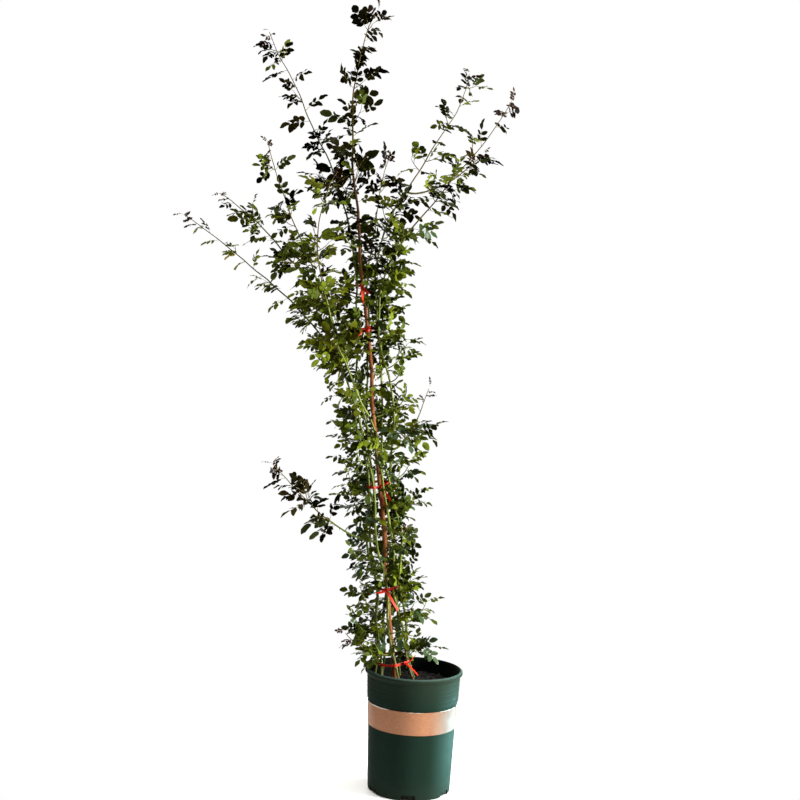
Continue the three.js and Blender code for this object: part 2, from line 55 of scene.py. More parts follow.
# Driving sizes in millimetres: the solids' own, apart from slimmer canes, flared shoots and wider ties
POT = Sizes(
    height=288,
    rim_radius=115,
    rim_height=12,
    collar_top=109.5,
    collar_foot=107,
    collar_foot_z=217,
    body_top=105,
    body_top_z=214,
    base=97,
    base_round=4,
    wall=2.2,
    floor=3,
)
NOTCH = Sizes(count=6, width=33, height=13, depth=9)
BAND = Sizes(bottom=156, top=210, thickness=0.7, clear=0.3)
SOIL = Sizes(top=258, crown_radius=84, edge_drop=6, clear=0.3)
COLUMN = Sizes(
    foot=np.array([-44.0, 0.0, 258.3]),
    lean=np.array([-0.125, 0.0, 1.0]),
    foot_radius=50,
    radius=25,
    gather_height=85,
    wind_per_height=-0.0019,
    wind_zero_z=1100,
    bow=0.06,
)
CANE = Sizes(foot_radius=2.9, tip_radius=1.1, taper=1.6, flare=1.0, flare_height=14, lead_share=0.35)
FIRST_CANE_ANGLE = 0.5 * math.pi

# Name, height where a cane leaves the column, bend and tip of its arch, share of its length that is bare
RING_CANES = [
    ("back", 1000, (-165, 185, 1340), (-119, 300, 1526), 0.74),
    ("right_high", 1180, (85, 90, 1570), (63, 140, 1711), 0.78),
    ("right_low", 1060, (70, -60, 1425), (163, -90, 1614), 0.75),
    ("front", 704, (-343, -330, 1179), (-209, -190, 1437), 0.78),
    ("left_high", 700, (-378, -80, 1395), (-382, -130, 1501), 0.76),
    ("left_far", 870, (-428, 20, 1217), (-604, 30, 1336), 0.74),
    ("left_top", 1200, (-330, 70, 1590), (-421, 110, 1787), 0.76),
]
CENTRE_CANE = ("centre", 1250, (-240, -20, 1650), (-144, -40, 1819), 0.78)
CENTRE_FOOT_RADIUS = 5.4

SHOOT = Sizes(foot_radius=2.1, tip_radius=1.1, taper=1.0, flare=0.8, lead_share=0.3)

# Name, cane and height it starts from, bend and tip, bare share
SHOOTS = [
    ("low_left", "left_far", 590, (-235, -60, 640), (-354, -70, 771), 0.4),
    ("low_twig", "left_far", 322, (-140, -40, 340), (-171, -50, 386), 0.3),
    ("right_small", "right_low", 800, (-22, 10, 850), (8, 40, 959), 0.3),
    ("left_mid", "left_high", 1205, (-400, -60, 1345), (-501, -60, 1376), 0.3),
    ("right_mid", "right_high", 1400, (40, 60, 1430), (111, 60, 1510), 0.35),
]
TWIG = Sizes(
    count=25,
    lowest=352,
    highest=1250,
    reach=46,
    corner_share=0.7,
    climb=42,
    radius=1.5,
    tip_radius=0.9,
    cane_stride=3,
)
TIE = Sizes(heights=(304, 478, 716, 1077, 1180), width=6, thickness=0.8, clear=1.2)


# Small helpers
def mix(a, b, share):
    return a + (b - a) * share


def unit(vector):
    return vector / np.linalg.norm(vector)


def across(direction, axis):
    return unit(direction - axis * (direction @ axis))


def turned(vector, axis, angle):
    """The vector turned about a unit axis."""
    level = axis * (axis @ vector) * (1 - math.cos(angle))
    return vector * math.cos(angle) + np.cross(axis, vector) * math.sin(angle) + level


def jitter(chance, amount):
    return np.array([chance.uniform(-amount, amount) for _ in range(3)])


def round_angles(count):
    return np.linspace(0, math.tau, count, endpoint=False)


def level_way(angle):
    return np.array([math.cos(angle), math.sin(angle), 0.0])


def bezier(controls, count):
    shares = np.linspace(0, 1, count)[:, None]
    points = [np.array(control, float) for control in controls]
    while len(points) > 1:
        points = [a + (b - a) * shares for a, b in zip(points, points[1:])]
    return points[0]


HEADING_SPAN = 3.0


class Path:
    """A line that gives the place and the heading at a distance along it."""

    def __init__(self, points):
        self.points = np.array(points, float)
        steps = np.linalg.norm(np.diff(self.points, axis=0), axis=1)
        self.along = np.concatenate([[0.0], np.cumsum(steps)])
        self.length = self.along[-1]

    def at(self, distance):
        return np.array([np.interp(distance, self.along, self.points[:, axis]) for axis in range(3)])

    def heading(self, distance):
        low = max(distance - HEADING_SPAN / 2, 0.0)
        return unit(self.at(min(low + HEADING_SPAN, self.length)) - self.at(low))

    def distance_at_height(self, z):
        return self.along[np.argmax(self.points[:, 2] >= z)]


# Meshes: a bank gathers corners and faces, and becomes one piece
class Bank:
    def __init__(self):
        self.corners = []
        self.faces = []
        self.finishes = []
        self.count = 0

    def add(self, corners, faces, finish=0):
        """Faces count from these corners' own first corner."""
        for group in faces:
            self.faces.extend((np.asarray(group) + self.count).tolist())
            self.finishes.extend([finish] * len(group))
        self.corners.append(np.asarray(corners, float))
        self.count += len(corners)

    def mesh(self, name, materials, sharp_deg=None):
        mesh = bpy.data.meshes.new(name)
        mesh.from_pydata((np.concatenate(self.corners) * MM).tolist(), [], self.faces)
        for material in materials:
            mesh.materials.append(material)
        mesh.polygons.foreach_set("material_index", self.finishes)
        mesh.polygons.foreach_set("use_smooth", [True] * len(self.faces))
        if sharp_deg is not None:
            mesh.set_sharp_from_angle(angle=math.radians(sharp_deg))
        mesh.update()
        return mesh


def put(name, data):
    """A new object in the scene."""
    item = bpy.data.objects.new(name, data)
    bpy.context.scene.collection.objects.link(item)
    return item


def add_mesh(name, mesh, slot, *nodes):
    """A piece of the plant that stands for the nodes named."""
    piece = put(name, mesh)
    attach(piece, "root")
    if nodes:
        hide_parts(*nodes)


def add_piece(name, bank, materials, slot, *nodes, sharp_deg=None):
    add_mesh(name, bank.mesh(name, materials, sharp_deg), slot, *nodes)


def grid_faces(rows, columns, closed):
    """Quads between rows of corners, closed round each row where asked."""
    last = columns if closed else columns - 1
    row, column = np.meshgrid(np.arange(rows - 1), np.arange(last), indexing="ij")
    after = (column + 1) % columns
    corners = [row * columns + column, row * columns + after]
    corners += [(row + 1) * columns + after, (row + 1) * columns + column]
    return np.stack([corner.ravel() for corner in corners], axis=1)


def lathe(outline, segments):
    """An outline of (radius, height) turned about Z; both its ends lie on the axis."""
    angles = round_angles(segments)
    rings = [[(r * math.cos(a), r * math.sin(a), z) for a in angles] for r, z in outline[1:-1]]
    corners = [corner for ring in rings for corner in ring]
    faces = [grid_faces(len(rings), segments, True)]
    first, last = len(corners), len(corners) + 1
    corners += [(0, 0, outline[0][1]), (0, 0, outline[-1][1])]
    top = (len(rings) - 1) * segments
    around = np.arange(segments)
    after = (around + 1) % segments
    faces.append(np.stack([np.full(segments, first), after, around], axis=1))
    faces.append(np.stack([np.full(segments, last), top + around, top + after], axis=1))
    return np.array(corners, float), faces


# A first side for a tube's corners, off every axis so that no stem runs along it
TUBE_SIDE = np.array([1.0, 0.013, 0.021])


def tube(points, radii, sides, relief=None):
    """A round stem through the points. The relief gives each ring and side a share to add to the radius."""
    points = np.asarray(points, float)
    radii = np.asarray(radii, float)
    headings = np.gradient(points, axis=0)
    headings /= np.linalg.norm(headings, axis=1)[:, None]
    angles = round_angles(sides)
    rings = []
    normal = TUBE_SIDE
    for i, (point, heading) in enumerate(zip(points, headings)):
        normal = across(normal, heading)
        binormal = np.cross(heading, normal)
        reach = radii[i] * (1 + (relief[i] if relief is not None else 0))
        ring = np.outer(np.cos(angles) * reach, normal) + np.outer(np.sin(angles) * reach, binormal)
        rings.append(point + ring)
    here = np.arange(sides)
    caps = [[here[::-1]], [here + (len(rings) - 1) * sides]]
    return np.concatenate(rings), [grid_faces(len(rings), sides, True), *caps]


STRIP_SECTION = ((-1, -1), (1, -1), (1, 1), (-1, 1))


def ribbon(points, outs, width, thickness, closed=False):
    """A flat strip through the points whose faces look along outs."""
    points = np.asarray(points, float)
    if closed:
        headings = np.roll(points, -1, axis=0) - np.roll(points, 1, axis=0)
    else:
        headings = np.gradient(points, axis=0)
    rows = []
    for point, heading, out in zip(points, headings, outs):
        normal = across(np.asarray(out, float), unit(heading))
        edge = np.cross(unit(heading), normal)
        for along_edge, along_normal in STRIP_SECTION:
            rows.append(point + edge * along_edge * width / 2 + normal * along_normal * thickness / 2)
    sides = len(STRIP_SECTION)
    here = np.arange(sides)
    last = here + (len(points) - 1) * sides
    faces = [grid_faces(len(points), sides, True)]
    if closed:
        faces.append(np.stack([last, np.roll(last, -1), np.roll(here, -1), here], axis=1))
    else:
        faces += [[here[::-1]], [last]]
    return np.array(rows), faces


# Materials
def srgb(red, green, blue):
    """A linear colour from 0 to 255 display values, by the sRGB curve."""
    shares = [value / 255 for value in (red, green, blue)]
    linear = [s / 12.92 if s <= 0.04045 else ((s + 0.055) / 1.055) ** 2.4 for s in shares]
    return (*linear, 1.0)


# The span that holds most of a noise texture's values
NOISE_SPAN = (0.3, 0.7)
# Colour sockets of a Mix node
MIX_FIRST, MIX_SECOND, MIX_RESULT = 6, 7, 2


class Finish:
    """A Principled material with helpers for the nodes that these finishes share."""

    def __init__(self, name, colour, roughness=0.5, specular=0.5):
        self.material = bpy.data.materials.new(name)
        self.material.use_nodes = True
        self.nodes = self.material.node_tree.nodes
        self.links = self.material.node_tree.links
        basics = {"Base Color": colour, "Roughness": roughness, "Specular IOR Level": specular}
        self.shader = self.fill(self.nodes["Principled BSDF"], basics)
        self.place = self.nodes.new("ShaderNodeTexCoord").outputs["Object"]

    def fill(self, node, inputs):
        """An input that is another node's output is linked, and any other is set."""
        for key, value in inputs.items():
            if isinstance(value, bpy.types.NodeSocket):
                self.links.new(value, node.inputs[key])
            else:
                node.inputs[key].default_value = value
        return node

    def node(self, kind, inputs):
        return self.fill(self.nodes.new(f"ShaderNode{kind}"), inputs)

    def noise(self, scale, detail=3.0, stretch=None):
        place = self.place
        if stretch:
            place = self.node("Mapping", {"Vector": place, "Scale": stretch}).outputs["Vector"]
        return self.node("TexNoise", {"Vector": place, "Scale": scale, "Detail": detail}).outputs["Fac"]

    def spots(self, scale):
        return self.node("TexVoronoi", {"Vector": self.place, "Scale": scale}).outputs["Distance"]

    def axis(self, name):
        return self.node("SeparateXYZ", {"Vector": self.place}).outputs[name]

    def ranged(self, value, low, high, to_low, to_high):
        limits = {"From Min": low, "From Max": high, "To Min": to_low, "To Max": to_high}
        return self.node("MapRange", {"Value": value, **limits}).outputs["Result"]

    def along(self, axis, low, high, to_low, to_high):
        """A share that goes from one value to another between two places on an axis, in metres."""
        return self.ranged(self.axis(axis), low, high, to_low, to_high)

    def multiplied(self, first, second):
        node = self.node("Math", {0: first, 1: second})
        node.operation = "MULTIPLY"
        return node.outputs["Value"]

    def ramp(self, value, *stops):
        node = self.node("ValToRGB", {"Fac": value})
        elements = node.color_ramp.elements
        while len(elements) < len(stops):
            elements.new(1.0)
        for element, (position, colour) in zip(elements, stops):
            element.position = position
            element.color = colour
        return node.outputs["Color"]

    def blend(self, factor, first, second):
        node = self.nodes.new("ShaderNodeMix")
        node.data_type = "RGBA"
        self.fill(node, {"Factor": factor, MIX_FIRST: first, MIX_SECOND: second})
        return node.outputs[MIX_RESULT]

    def colour(self, value):
        self.fill(self.shader, {"Base Color": value})

    def roughness(self, value, low, high):
        self.fill(self.shader, {"Roughness": self.ranged(value, *NOISE_SPAN, low, high)})

    def bump(self, value, depth, strength=1.0):
        """Relief of a depth in metres; each further call adds to the one before."""
        node = self.node("Bump", {"Distance": depth, "Strength": strength, "Height": value})
        socket = self.shader.inputs["Normal"]
        if socket.links:
            self.links.new(socket.links[0].from_socket, node.inputs["Normal"])
        self.links.new(node.outputs["Normal"], socket)


UPRIGHT_STREAKS = (1.0, 1.0, 0.12)
FLAT_STREAKS = (1.0, 1.0, 6.0)


def pot_material():
    """Green plastic: streaked, dusty at the foot, paler up the collar, with a painted highlight along the
    rim's top edge.
    """
    finish = Finish("pot_plastic", srgb(20, 36, 30), specular=0.02)
    streaks = finish.noise(9.0, 4.0, UPRIGHT_STREAKS)
    plastic = finish.ramp(streaks, (0.3, srgb(16, 30, 24)), (0.75, srgb(23, 38, 32)))
    dust = finish.along("Z", 0.0, 0.05, 0.55, 0.0)
    dusty = finish.blend(dust, plastic, srgb(32, 40, 34))
    collar = finish.along("Z", 0.21, 0.288, 0.0, 0.6)
    collared = finish.blend(collar, dusty, srgb(40, 48, 38))
    # Painted highlight: the rim's top edge is made lighter, standing in for light caught along it.
    painted_rim_highlight = finish.along("Z", 0.284, 0.2865, 0.0, 0.8)
    finish.colour(finish.blend(painted_rim_highlight, collared, srgb(66, 84, 80)))
    finish.roughness(finish.noise(60.0, 5.0), 0.5, 0.68)
    finish.bump(finish.noise(420.0, 2.0), 0.0002, 0.35)
    finish.bump(finish.noise(14.0, 2.0, FLAT_STREAKS), 0.0006, 0.3)
    return finish.material


def pot_inside_material():
    """The same plastic inside the pot, darkened as painted shade, with a slight mottle."""
    finish = Finish("pot_inside", srgb(10, 17, 14), specular=0.03)
    # Painted shade: the inner wall is near black, as the shadow inside the pot.
    shade_mottle = finish.noise(30.0, 4.0)
    finish.colour(finish.ramp(shade_mottle, (0.3, srgb(4, 7, 6)), (0.7, srgb(10, 17, 14))))
    finish.roughness(shade_mottle, 0.6, 0.8)
    return finish.material


def band_material():
    """Tan paper: fibrous, worn in patches, with painted shade towards the right and a painted grey highlight
    at the right front, frayed above.
    """
    finish = Finish("pot_band_paper", srgb(138, 90, 63), specular=0.1)
    fibres = finish.noise(260.0, 6.0)
    tone = finish.ramp(fibres, (0.3, srgb(142, 95, 69)), (0.7, srgb(158, 110, 84)))
    worn = finish.ranged(finish.noise(16.0, 4.0), 0.56, 0.72, 0.0, 0.5)
    tone = finish.blend(worn, tone, srgb(166, 126, 102))
    # Painted shade: the paper is darker towards the right, tempering the strong light from that side.
    tone = finish.blend(finish.along("X", 0.06, 0.1, 0.0, 0.9), tone, srgb(92, 60, 42))
    # Painted highlight: the right front turns grey, as the washed-out highlight there.
    to_right = finish.along("X", 0.03, 0.085, 0.0, 1.0)
    painted_grey_highlight = finish.multiplied(to_right, finish.along("Y", -0.05, -0.01, 1.0, 0.0))
    tone = finish.blend(painted_grey_highlight, tone, srgb(98, 78, 72))
    frayed = finish.multiplied(finish.along("Z", 0.2075, 0.2095, 0.0, 1.0), finish.noise(34.0, 2.0))
    finish.colour(finish.blend(finish.ranged(frayed, 0.44, 0.5, 0.0, 1.0), tone, srgb(232, 222, 212)))
    finish.roughness(finish.noise(40.0), 0.32, 0.5)
    finish.bump(fibres, 0.0002, 0.4)
    return finish.material


# Near-black soil: the damp mix's own dark colour, darkened further as painted shade inside the pot.
def soil_material():
    finish = Finish("soil_mix", srgb(30, 22, 16), 0.95, 0.2)
    grains = finish.noise(120.0, 6.0)
    finish.colour(finish.ramp(grains, (0.3, srgb(3, 2, 2)), (0.7, srgb(10, 8, 6))))
    finish.bump(grains, 0.003, 0.8)
    return finish.material


def chip_material(name, dark, light):
    finish = Finish(name, dark, 0.9, 0.25)
    grain = finish.noise(160.0, 4.0, (1.0, 3.0, 1.0))
    finish.colour(finish.ramp(grain, (0.3, dark), (0.7, light)))
    finish.bump(grain, 0.0008, 0.6)
    return finish.material


def cane_material():
    """Green bark in patches, weathered near the soil, and darker and browner in the crown: partly browner
    bark, partly painted shade.
    """
    finish = Finish("cane_bark", srgb(124, 138, 70), specular=0.35)
    patches = finish.noise(26.0, 5.0, (1.0, 1.0, 0.35))
    greens = (0.32, srgb(68, 82, 24)), (0.55, srgb(108, 122, 38)), (0.75, srgb(136, 144, 56))
    low = finish.along("Z", 0.26, 0.5, 0.75, 0.0)
    mottled = finish.noise(60.0, 5.0, (1.0, 1.0, 0.3))
    weathered = finish.ramp(mottled, (0.3, srgb(44, 40, 16)), (0.7, srgb(80, 74, 34)))
    mixed = finish.blend(low, finish.ramp(patches, *greens), weathered)
    # Partly painted shade: the bark turns darker up in the crown, as well as browner.
    high = finish.along("Z", 1.15, 1.45, 0.0, 0.9)
    finish.colour(finish.blend(high, mixed, srgb(66, 56, 20)))
    finish.roughness(finish.noise(90.0), 0.42, 0.65)
    finish.bump(finish.noise(300.0, 4.0, (1.0, 1.0, 0.15)), 0.0005, 0.5)
    return finish.material


def woody_material():
    """Brown wood with a long grain, darker and olive-brown in the crown: partly duller wood, partly painted
    shade under the leaves.
    """
    finish = Finish("cane_wood", srgb(120, 78, 50), 0.8, 0.25)
    grain = finish.noise(170.0, 6.0, (1.0, 1.0, 0.1))
    wood = finish.ramp(grain, (0.28, srgb(92, 48, 26)), (0.52, srgb(146, 82, 44)), (0.78, srgb(172, 110, 66)))
    # Partly painted shade: the wood turns darker and olive-brown up in the crown, among the leaves.
    high = finish.along("Z", 1.1, 1.4, 0.0, 0.85)
    finish.colour(finish.blend(high, wood, srgb(52, 42, 22)))
    finish.roughness(grain, 0.6, 0.9)
    finish.bump(grain, 0.0012, 0.8)
    return finish.material


def stem_material(name, colour):
    finish = Finish(name, colour, specular=0.3)
    finish.roughness(finish.noise(80.0), 0.45, 0.7)
    finish.bump(finish.noise(500.0, 3.0, (1.0, 1.0, 0.3)), 0.0003, 0.5)
    return finish.material


def leaf_material(name, colour, smooth, rough, specular):
    finish = Finish(name, colour, specular=specular)
    finish.roughness(finish.noise(55.0, 3.0), smooth, rough)
    finish.bump(finish.spots(420.0), 0.0005, 0.45)
    finish.bump(finish.noise(130.0, 3.0), 0.0008, 0.4)
    return finish.material


def tie_material():
    finish = Finish("tie_strip", srgb(212, 48, 28), specular=0.2)
    lines = finish.noise(220.0, 3.0, FLAT_STREAKS)
    finish.colour(finish.ramp(lines, (0.3, srgb(186, 32, 20)), (0.7, srgb(220, 56, 34))))
    finish.roughness(finish.noise(70.0), 0.3, 0.5)
    finish.bump(lines, 0.0003, 0.4)
    return finish.material


# Leaf colours: name, colour, smoothest and roughest, gloss
LEAF_TONES = [
    ("deep", srgb(39, 47, 4), 0.4, 0.65, 0.08),
    ("mid", srgb(63, 74, 7), 0.4, 0.65, 0.09),
    ("olive", srgb(84, 88, 9), 0.45, 0.7, 0.05),
    ("light", srgb(103, 115, 25), 0.45, 0.7, 0.06),
    ("waxy", srgb(54, 73, 42), 0.28, 0.45, 0.2),
    # The tone dark is painted shade: near-black leaves standing in for leaves in shadow.
    ("dark", srgb(15, 13, 1), 0.45, 0.7, 0.01),
    ("bronze", srgb(44, 36, 8), 0.45, 0.7, 0.03),
    ("young", srgb(44, 24, 9), 0.4, 0.6, 0.05),
    ("yellow", srgb(170, 146, 40), 0.45, 0.6, 0.2),
    ("dead", srgb(128, 74, 40), 0.7, 0.9, 0.1),
]
TONE = {tone[0]: i for i, tone in enumerate(LEAF_TONES)}
STEM_TONES = [("green", srgb(104, 114, 40)), ("olive", srgb(88, 76, 24)), ("red", srgb(80, 42, 18))]
STEM = {tone[0]: i for i, tone in enumerate(STEM_TONES)}

# Pot, band and soil
POT_MESH = Sizes(segments=180, sharp_deg=38, notch_corner=3)
COLLAR_RIBS = Sizes(heights=(229, 243, 252, 266), rise=0.45, half=1.2, step=0.9)
BODY_RIBS = Sizes(heights=(30, 151, 154.5), rise=0.35, half=1.1, step=1.5)
WALL = Sizes(foot_ring=24, start=6, top_gap=1, ledge_in=0.7, ledge_half=0.4, inner_drop=2)
ROLL = Sizes(neck=5, swell=0.5, radius=4, under=0.8, crest_in=5, crest_down=1, crest_size=(2, 1))
# Arcs in the outlines: first and last angle in degrees, and points
FOOT_ARC, ROLL_ARC, CREST_ARC = (-75, 0, 6), (-80, 80, 10), (80, 90, 3)
NOTCH_ARCS = ((15, 90, 5), (90, 165, 5))
NECK_POINTS = 7
# The rim's inner lip, from the mouth's radius and the pot's height
INNER_LIP = ((2.5, -0.3), (0.8, -1.4), (0, -4))


def body_radius(z):
    return mix(POT.base, POT.body_top, z / POT.body_top_z)


def collar_radius(z):
    rim_foot = POT.height - POT.rim_height
    return mix(POT.collar_foot, POT.collar_top, (z - POT.collar_foot_z) / (rim_foot - POT.collar_foot_z))


def ribbed(line, low, high, ribs):
    """An outline up a wall, with low rounded ribs round it."""
    outline = []
    for z in np.arange(low, high, ribs.step):
        rise = sum(ribs.rise * math.exp(-(((z - at) / ribs.half) ** 2)) for at in ribs.heights)
        outline.append((line(z) + rise, z))
    return outline


def arc(centre, radius_r, radius_z, start_deg, end_deg, count):
    angles = np.radians(np.linspace(start_deg, end_deg, count))
    return [(centre[0] + radius_r * math.cos(a), centre[1] + radius_z * math.sin(a)) for a in angles]


def pot_outline():
    """From the middle of the underside up the outer wall, over the rim and down the inner wall."""
    rim_foot = POT.height - POT.rim_height
    neck_z = rim_foot - ROLL.neck
    half = POT.rim_height / 2
    foot = POT.base - POT.base_round
    roll = POT.rim_radius - ROLL.radius
    mouth = POT.collar_top - POT.wall
    outline = [(0, 0), (POT.base - WALL.foot_ring, 0), (foot, 0)]
    outline += arc((foot, POT.base_round), POT.base_round, POT.base_round, *FOOT_ARC)
    outline += ribbed(body_radius, WALL.start, POT.body_top_z - WALL.top_gap, BODY_RIBS)
    outline += [(POT.body_top, POT.body_top_z)]
    outline += [(POT.collar_foot - WALL.ledge_in, POT.collar_foot_z - WALL.ledge_half)]
    outline += ribbed(collar_radius, POT.collar_foot_z + WALL.ledge_half, neck_z, COLLAR_RIBS)
    neck = [(collar_radius(neck_z), neck_z), (POT.collar_top + ROLL.swell, rim_foot)]
    outline += bezier([*neck, (roll, rim_foot + ROLL.under)], NECK_POINTS).tolist()
    outline += arc((roll, rim_foot + half), ROLL.radius, half - ROLL.under, *ROLL_ARC)
    crest = (POT.rim_radius - ROLL.crest_in, POT.height - ROLL.crest_down)
    outline += arc(crest, *ROLL.crest_size, *CREST_ARC)
    outline += [(mouth + r, POT.height + z) for r, z in INNER_LIP]
    outline += [(mouth, rim_foot), (POT.collar_foot - POT.wall, POT.collar_foot_z)]
    outline += [(POT.body_top - POT.wall, POT.body_top_z - WALL.inner_drop)]
    outline += [(body_radius(POT.floor) - POT.wall, POT.floor), (0, POT.floor)]
    return outline


def notch_cutters():
    """Prisms with rounded upper corners that cut the drain notches."""
    half = NOTCH.width / 2
    corner = POT_MESH.notch_corner
    shoulder = NOTCH.height - corner
    outline = [(-half, -NOTCH.height), (half, -NOTCH.height), (half, shoulder)]
    for middle, turn in zip((half - corner, -half + corner), NOTCH_ARCS):
        outline += arc((middle, shoulder), corner, corner, *turn)
    outline += [(-half, shoulder)]
    ends = [(x, -POT.base + y, z) for y in (-NOTCH.depth, NOTCH.depth) for x, z in outline]
    here = np.arange(len(outline))
    faces = [grid_faces(2, len(outline), True)[:, ::-1], [here], [here[::-1] + len(outline)]]
    cutters = Bank()
    for i in range(NOTCH.count):
        angle = math.tau * i / NOTCH.count
        cos, sin = math.cos(angle), math.sin(angle)
        turn = np.array([[cos, -sin, 0], [sin, cos, 0], [0, 0, 1]])
        cutters.add(np.array(ends) @ turn.T, faces)
    return cutters.mesh("notch_cutters", [])


def make_pot():
    bank = Bank()
    bank.add(*lathe(pot_outline(), POT_MESH.segments))
    blank = put("pot_blank", bank.mesh("pot_blank", [pot_material(), pot_inside_material()]))
    cutter = put("pot_cutter", notch_cutters())
    cut = blank.modifiers.new("notches", "BOOLEAN")
    cut.operation = "DIFFERENCE"
    cut.solver = "EXACT"
    cut.object = cutter
    mesh = bpy.data.meshes.new_from_object(blank.evaluated_get(bpy.context.evaluated_depsgraph_get()))
    for item in (blank, cutter):
        bpy.data.objects.remove(item)
    mesh.polygons.foreach_set("use_smooth", [True] * len(mesh.polygons))
    # Inward faces of the upper wall take the second finish, the painted shade inside the pot.
    for face in mesh.polygons:
        inwards = face.normal.x * face.center.x + face.normal.y * face.center.y < 0
        face.material_index = int(inwards and face.center.z > POT.body_top_z / 2 * MM)
    mesh.set_sharp_from_angle(angle=math.radians(POT_MESH.sharp_deg))
    add_mesh("pot_shell", mesh, "pot", "pot")


SLEEVE = Sizes(
    segments=240,
    rows=12,
    turns=(0.5 * math.pi, 2.5 * math.pi),
    overlap=math.radians(7),
    lift=0.5,
    curl=0.35,
    curl_power=6,
    curl_waves=3,
    curl_layer=2.0,
    slack=0.15,
    wave=0.6,
    waves=2,
    wave_turn=0.6,
    sharp_deg=40,
)


def make_band():
    """A paper sleeve that lies a little loose at its upper edge and overlaps itself at the back."""
    segments, rows, overlap = SLEEVE.segments, SLEEVE.rows, SLEEVE.overlap
    first, last = SLEEVE.turns
    corners = []
    for row in range(rows + 1):
        up = row / rows
        z = mix(BAND.bottom, BAND.top, up)
        for i in range(segments + 1):
            turn = i / segments
            angle = mix(first, last + overlap, turn)
            cos, sin = math.cos(angle), math.sin(angle)
            lift = SLEEVE.lift * max(0.0, turn * (math.tau + overlap) - math.tau) / overlap
            loose = noise.noise(Vector((cos * SLEEVE.curl_waves, sin * SLEEVE.curl_waves, SLEEVE.curl_layer)))
            curl = SLEEVE.curl * up**SLEEVE.curl_power * (1 + loose)
            radius = body_radius(z) + BAND.clear + BAND.thickness + SLEEVE.slack + lift + curl
            wave = SLEEVE.wave * math.sin(angle * SLEEVE.waves + SLEEVE.wave_turn)
            corners.append((radius * cos, radius * sin, z + wave))
    outer = np.array(corners)
    inner = outer.copy()
    inner[:, :2] *= 1 - BAND.thickness / np.hypot(outer[:, 0], outer[:, 1])[:, None]
    columns = segments + 1
    count = len(outer)
    shell = grid_faces(rows + 1, columns, False)
    bottom = np.arange(segments)
    side = np.arange(rows) * columns

    def edge(line, step):
        """Quads from a line of outer corners to the inner ones."""
        return np.stack([line, count + line, count + line + step, line + step], axis=1)

    rims = [edge(bottom, 1)[:, ::-1], edge(rows * columns + bottom, 1)]
    rims += [edge(side, columns), edge(side, columns)[:, ::-1] + segments]
    bank = Bank()
    bank.add(np.concatenate([outer, inner]), [shell, (shell + count)[:, ::-1], *rims])
    add_piece("pot_band_paper", bank, [band_material()], "pot_band", "pot_band", sharp_deg=SLEEVE.sharp_deg)


# Lumps are height, width and layer of the noise
BED = Sizes(
    segments=120,
    rings=34,
    edge_width=20,
    lumps=((3.2, 22, 0.4), (1.5, 7, 3.1)),
    sunk=1.5,
    shoulder=1,
    surface_above=5,
    sharp_deg=60,
)


def soil_height(x, y):
    drop = SOIL.edge_drop * max(0.0, (math.hypot(x, y) - SOIL.crown_radius) / BED.edge_width)
    lumps = sum(high * noise.noise(Vector((x / wide, y / wide, layer))) for high, wide, layer in BED.lumps)
    return SOIL.top - drop + lumps - BED.sunk


def make_soil():
    clear = POT.wall + SOIL.clear
    foot = POT.floor + SOIL.clear
    edge_z = SOIL.top - SOIL.edge_drop
    edge = collar_radius(edge_z) - clear
    outline = [(0, foot), (body_radius(foot) - clear, foot), (POT.body_top - clear, POT.body_top_z)]
    outline += [(POT.collar_foot - clear, POT.collar_foot_z + BED.shoulder)]
    outline += [(edge * (1 - i / BED.rings), edge_z) for i in range(BED.rings)] + [(0, edge_z)]
    corners, faces = lathe(outline, BED.segments)
    surface = corners[:, 2] > POT.collar_foot_z + BED.surface_above
    corners[surface, 2] = [soil_height(x, y) for x, y, _ in corners[surface]]
    bank = Bank()
    bank.add(corners, faces)
    add_piece("soil_bed", bank, [soil_material()], "soil", "soil", sharp_deg=BED.sharp_deg)


CHIP = Sizes(
    seed=31,
    count=620,
    reach=0.93,
    edge_clear=6,
    length=(4, 15),
    width=(2, 6),
    width_share=0.6,
    pale_share=0.12,
    pale_length=(2, 4),
    pale_width_share=0.8,
    flatness=(0.35, 0.7),
    worn=(0.6, 1.15),
    tip=0.35,
    raised=0.2,
    sharp_deg=30,
)
# Chip colours near black: dark bark, darkened further as painted shade inside the pot.
CHIP_FINISHES = [
    ("chip_dark", srgb(5, 4, 3), srgb(12, 9, 6)),
    ("chip_light", srgb(11, 8, 6), srgb(22, 16, 11)),
    ("chip_pale", srgb(26, 24, 20), srgb(44, 41, 35)),
]
DARK, LIGHT, PALE = range(3)
BOX_FACES = [[[0, 2, 3, 1], [4, 5, 7, 6], [0, 1, 5, 4], [2, 6, 7, 3], [0, 4, 6, 2], [1, 3, 7, 5]]]


def box_corners(sizes):
    halves = [(-size / 2, size / 2) for size in sizes]
    return [[halves[axis][(i >> axis) & 1] for axis in range(3)] for i in range(8)]


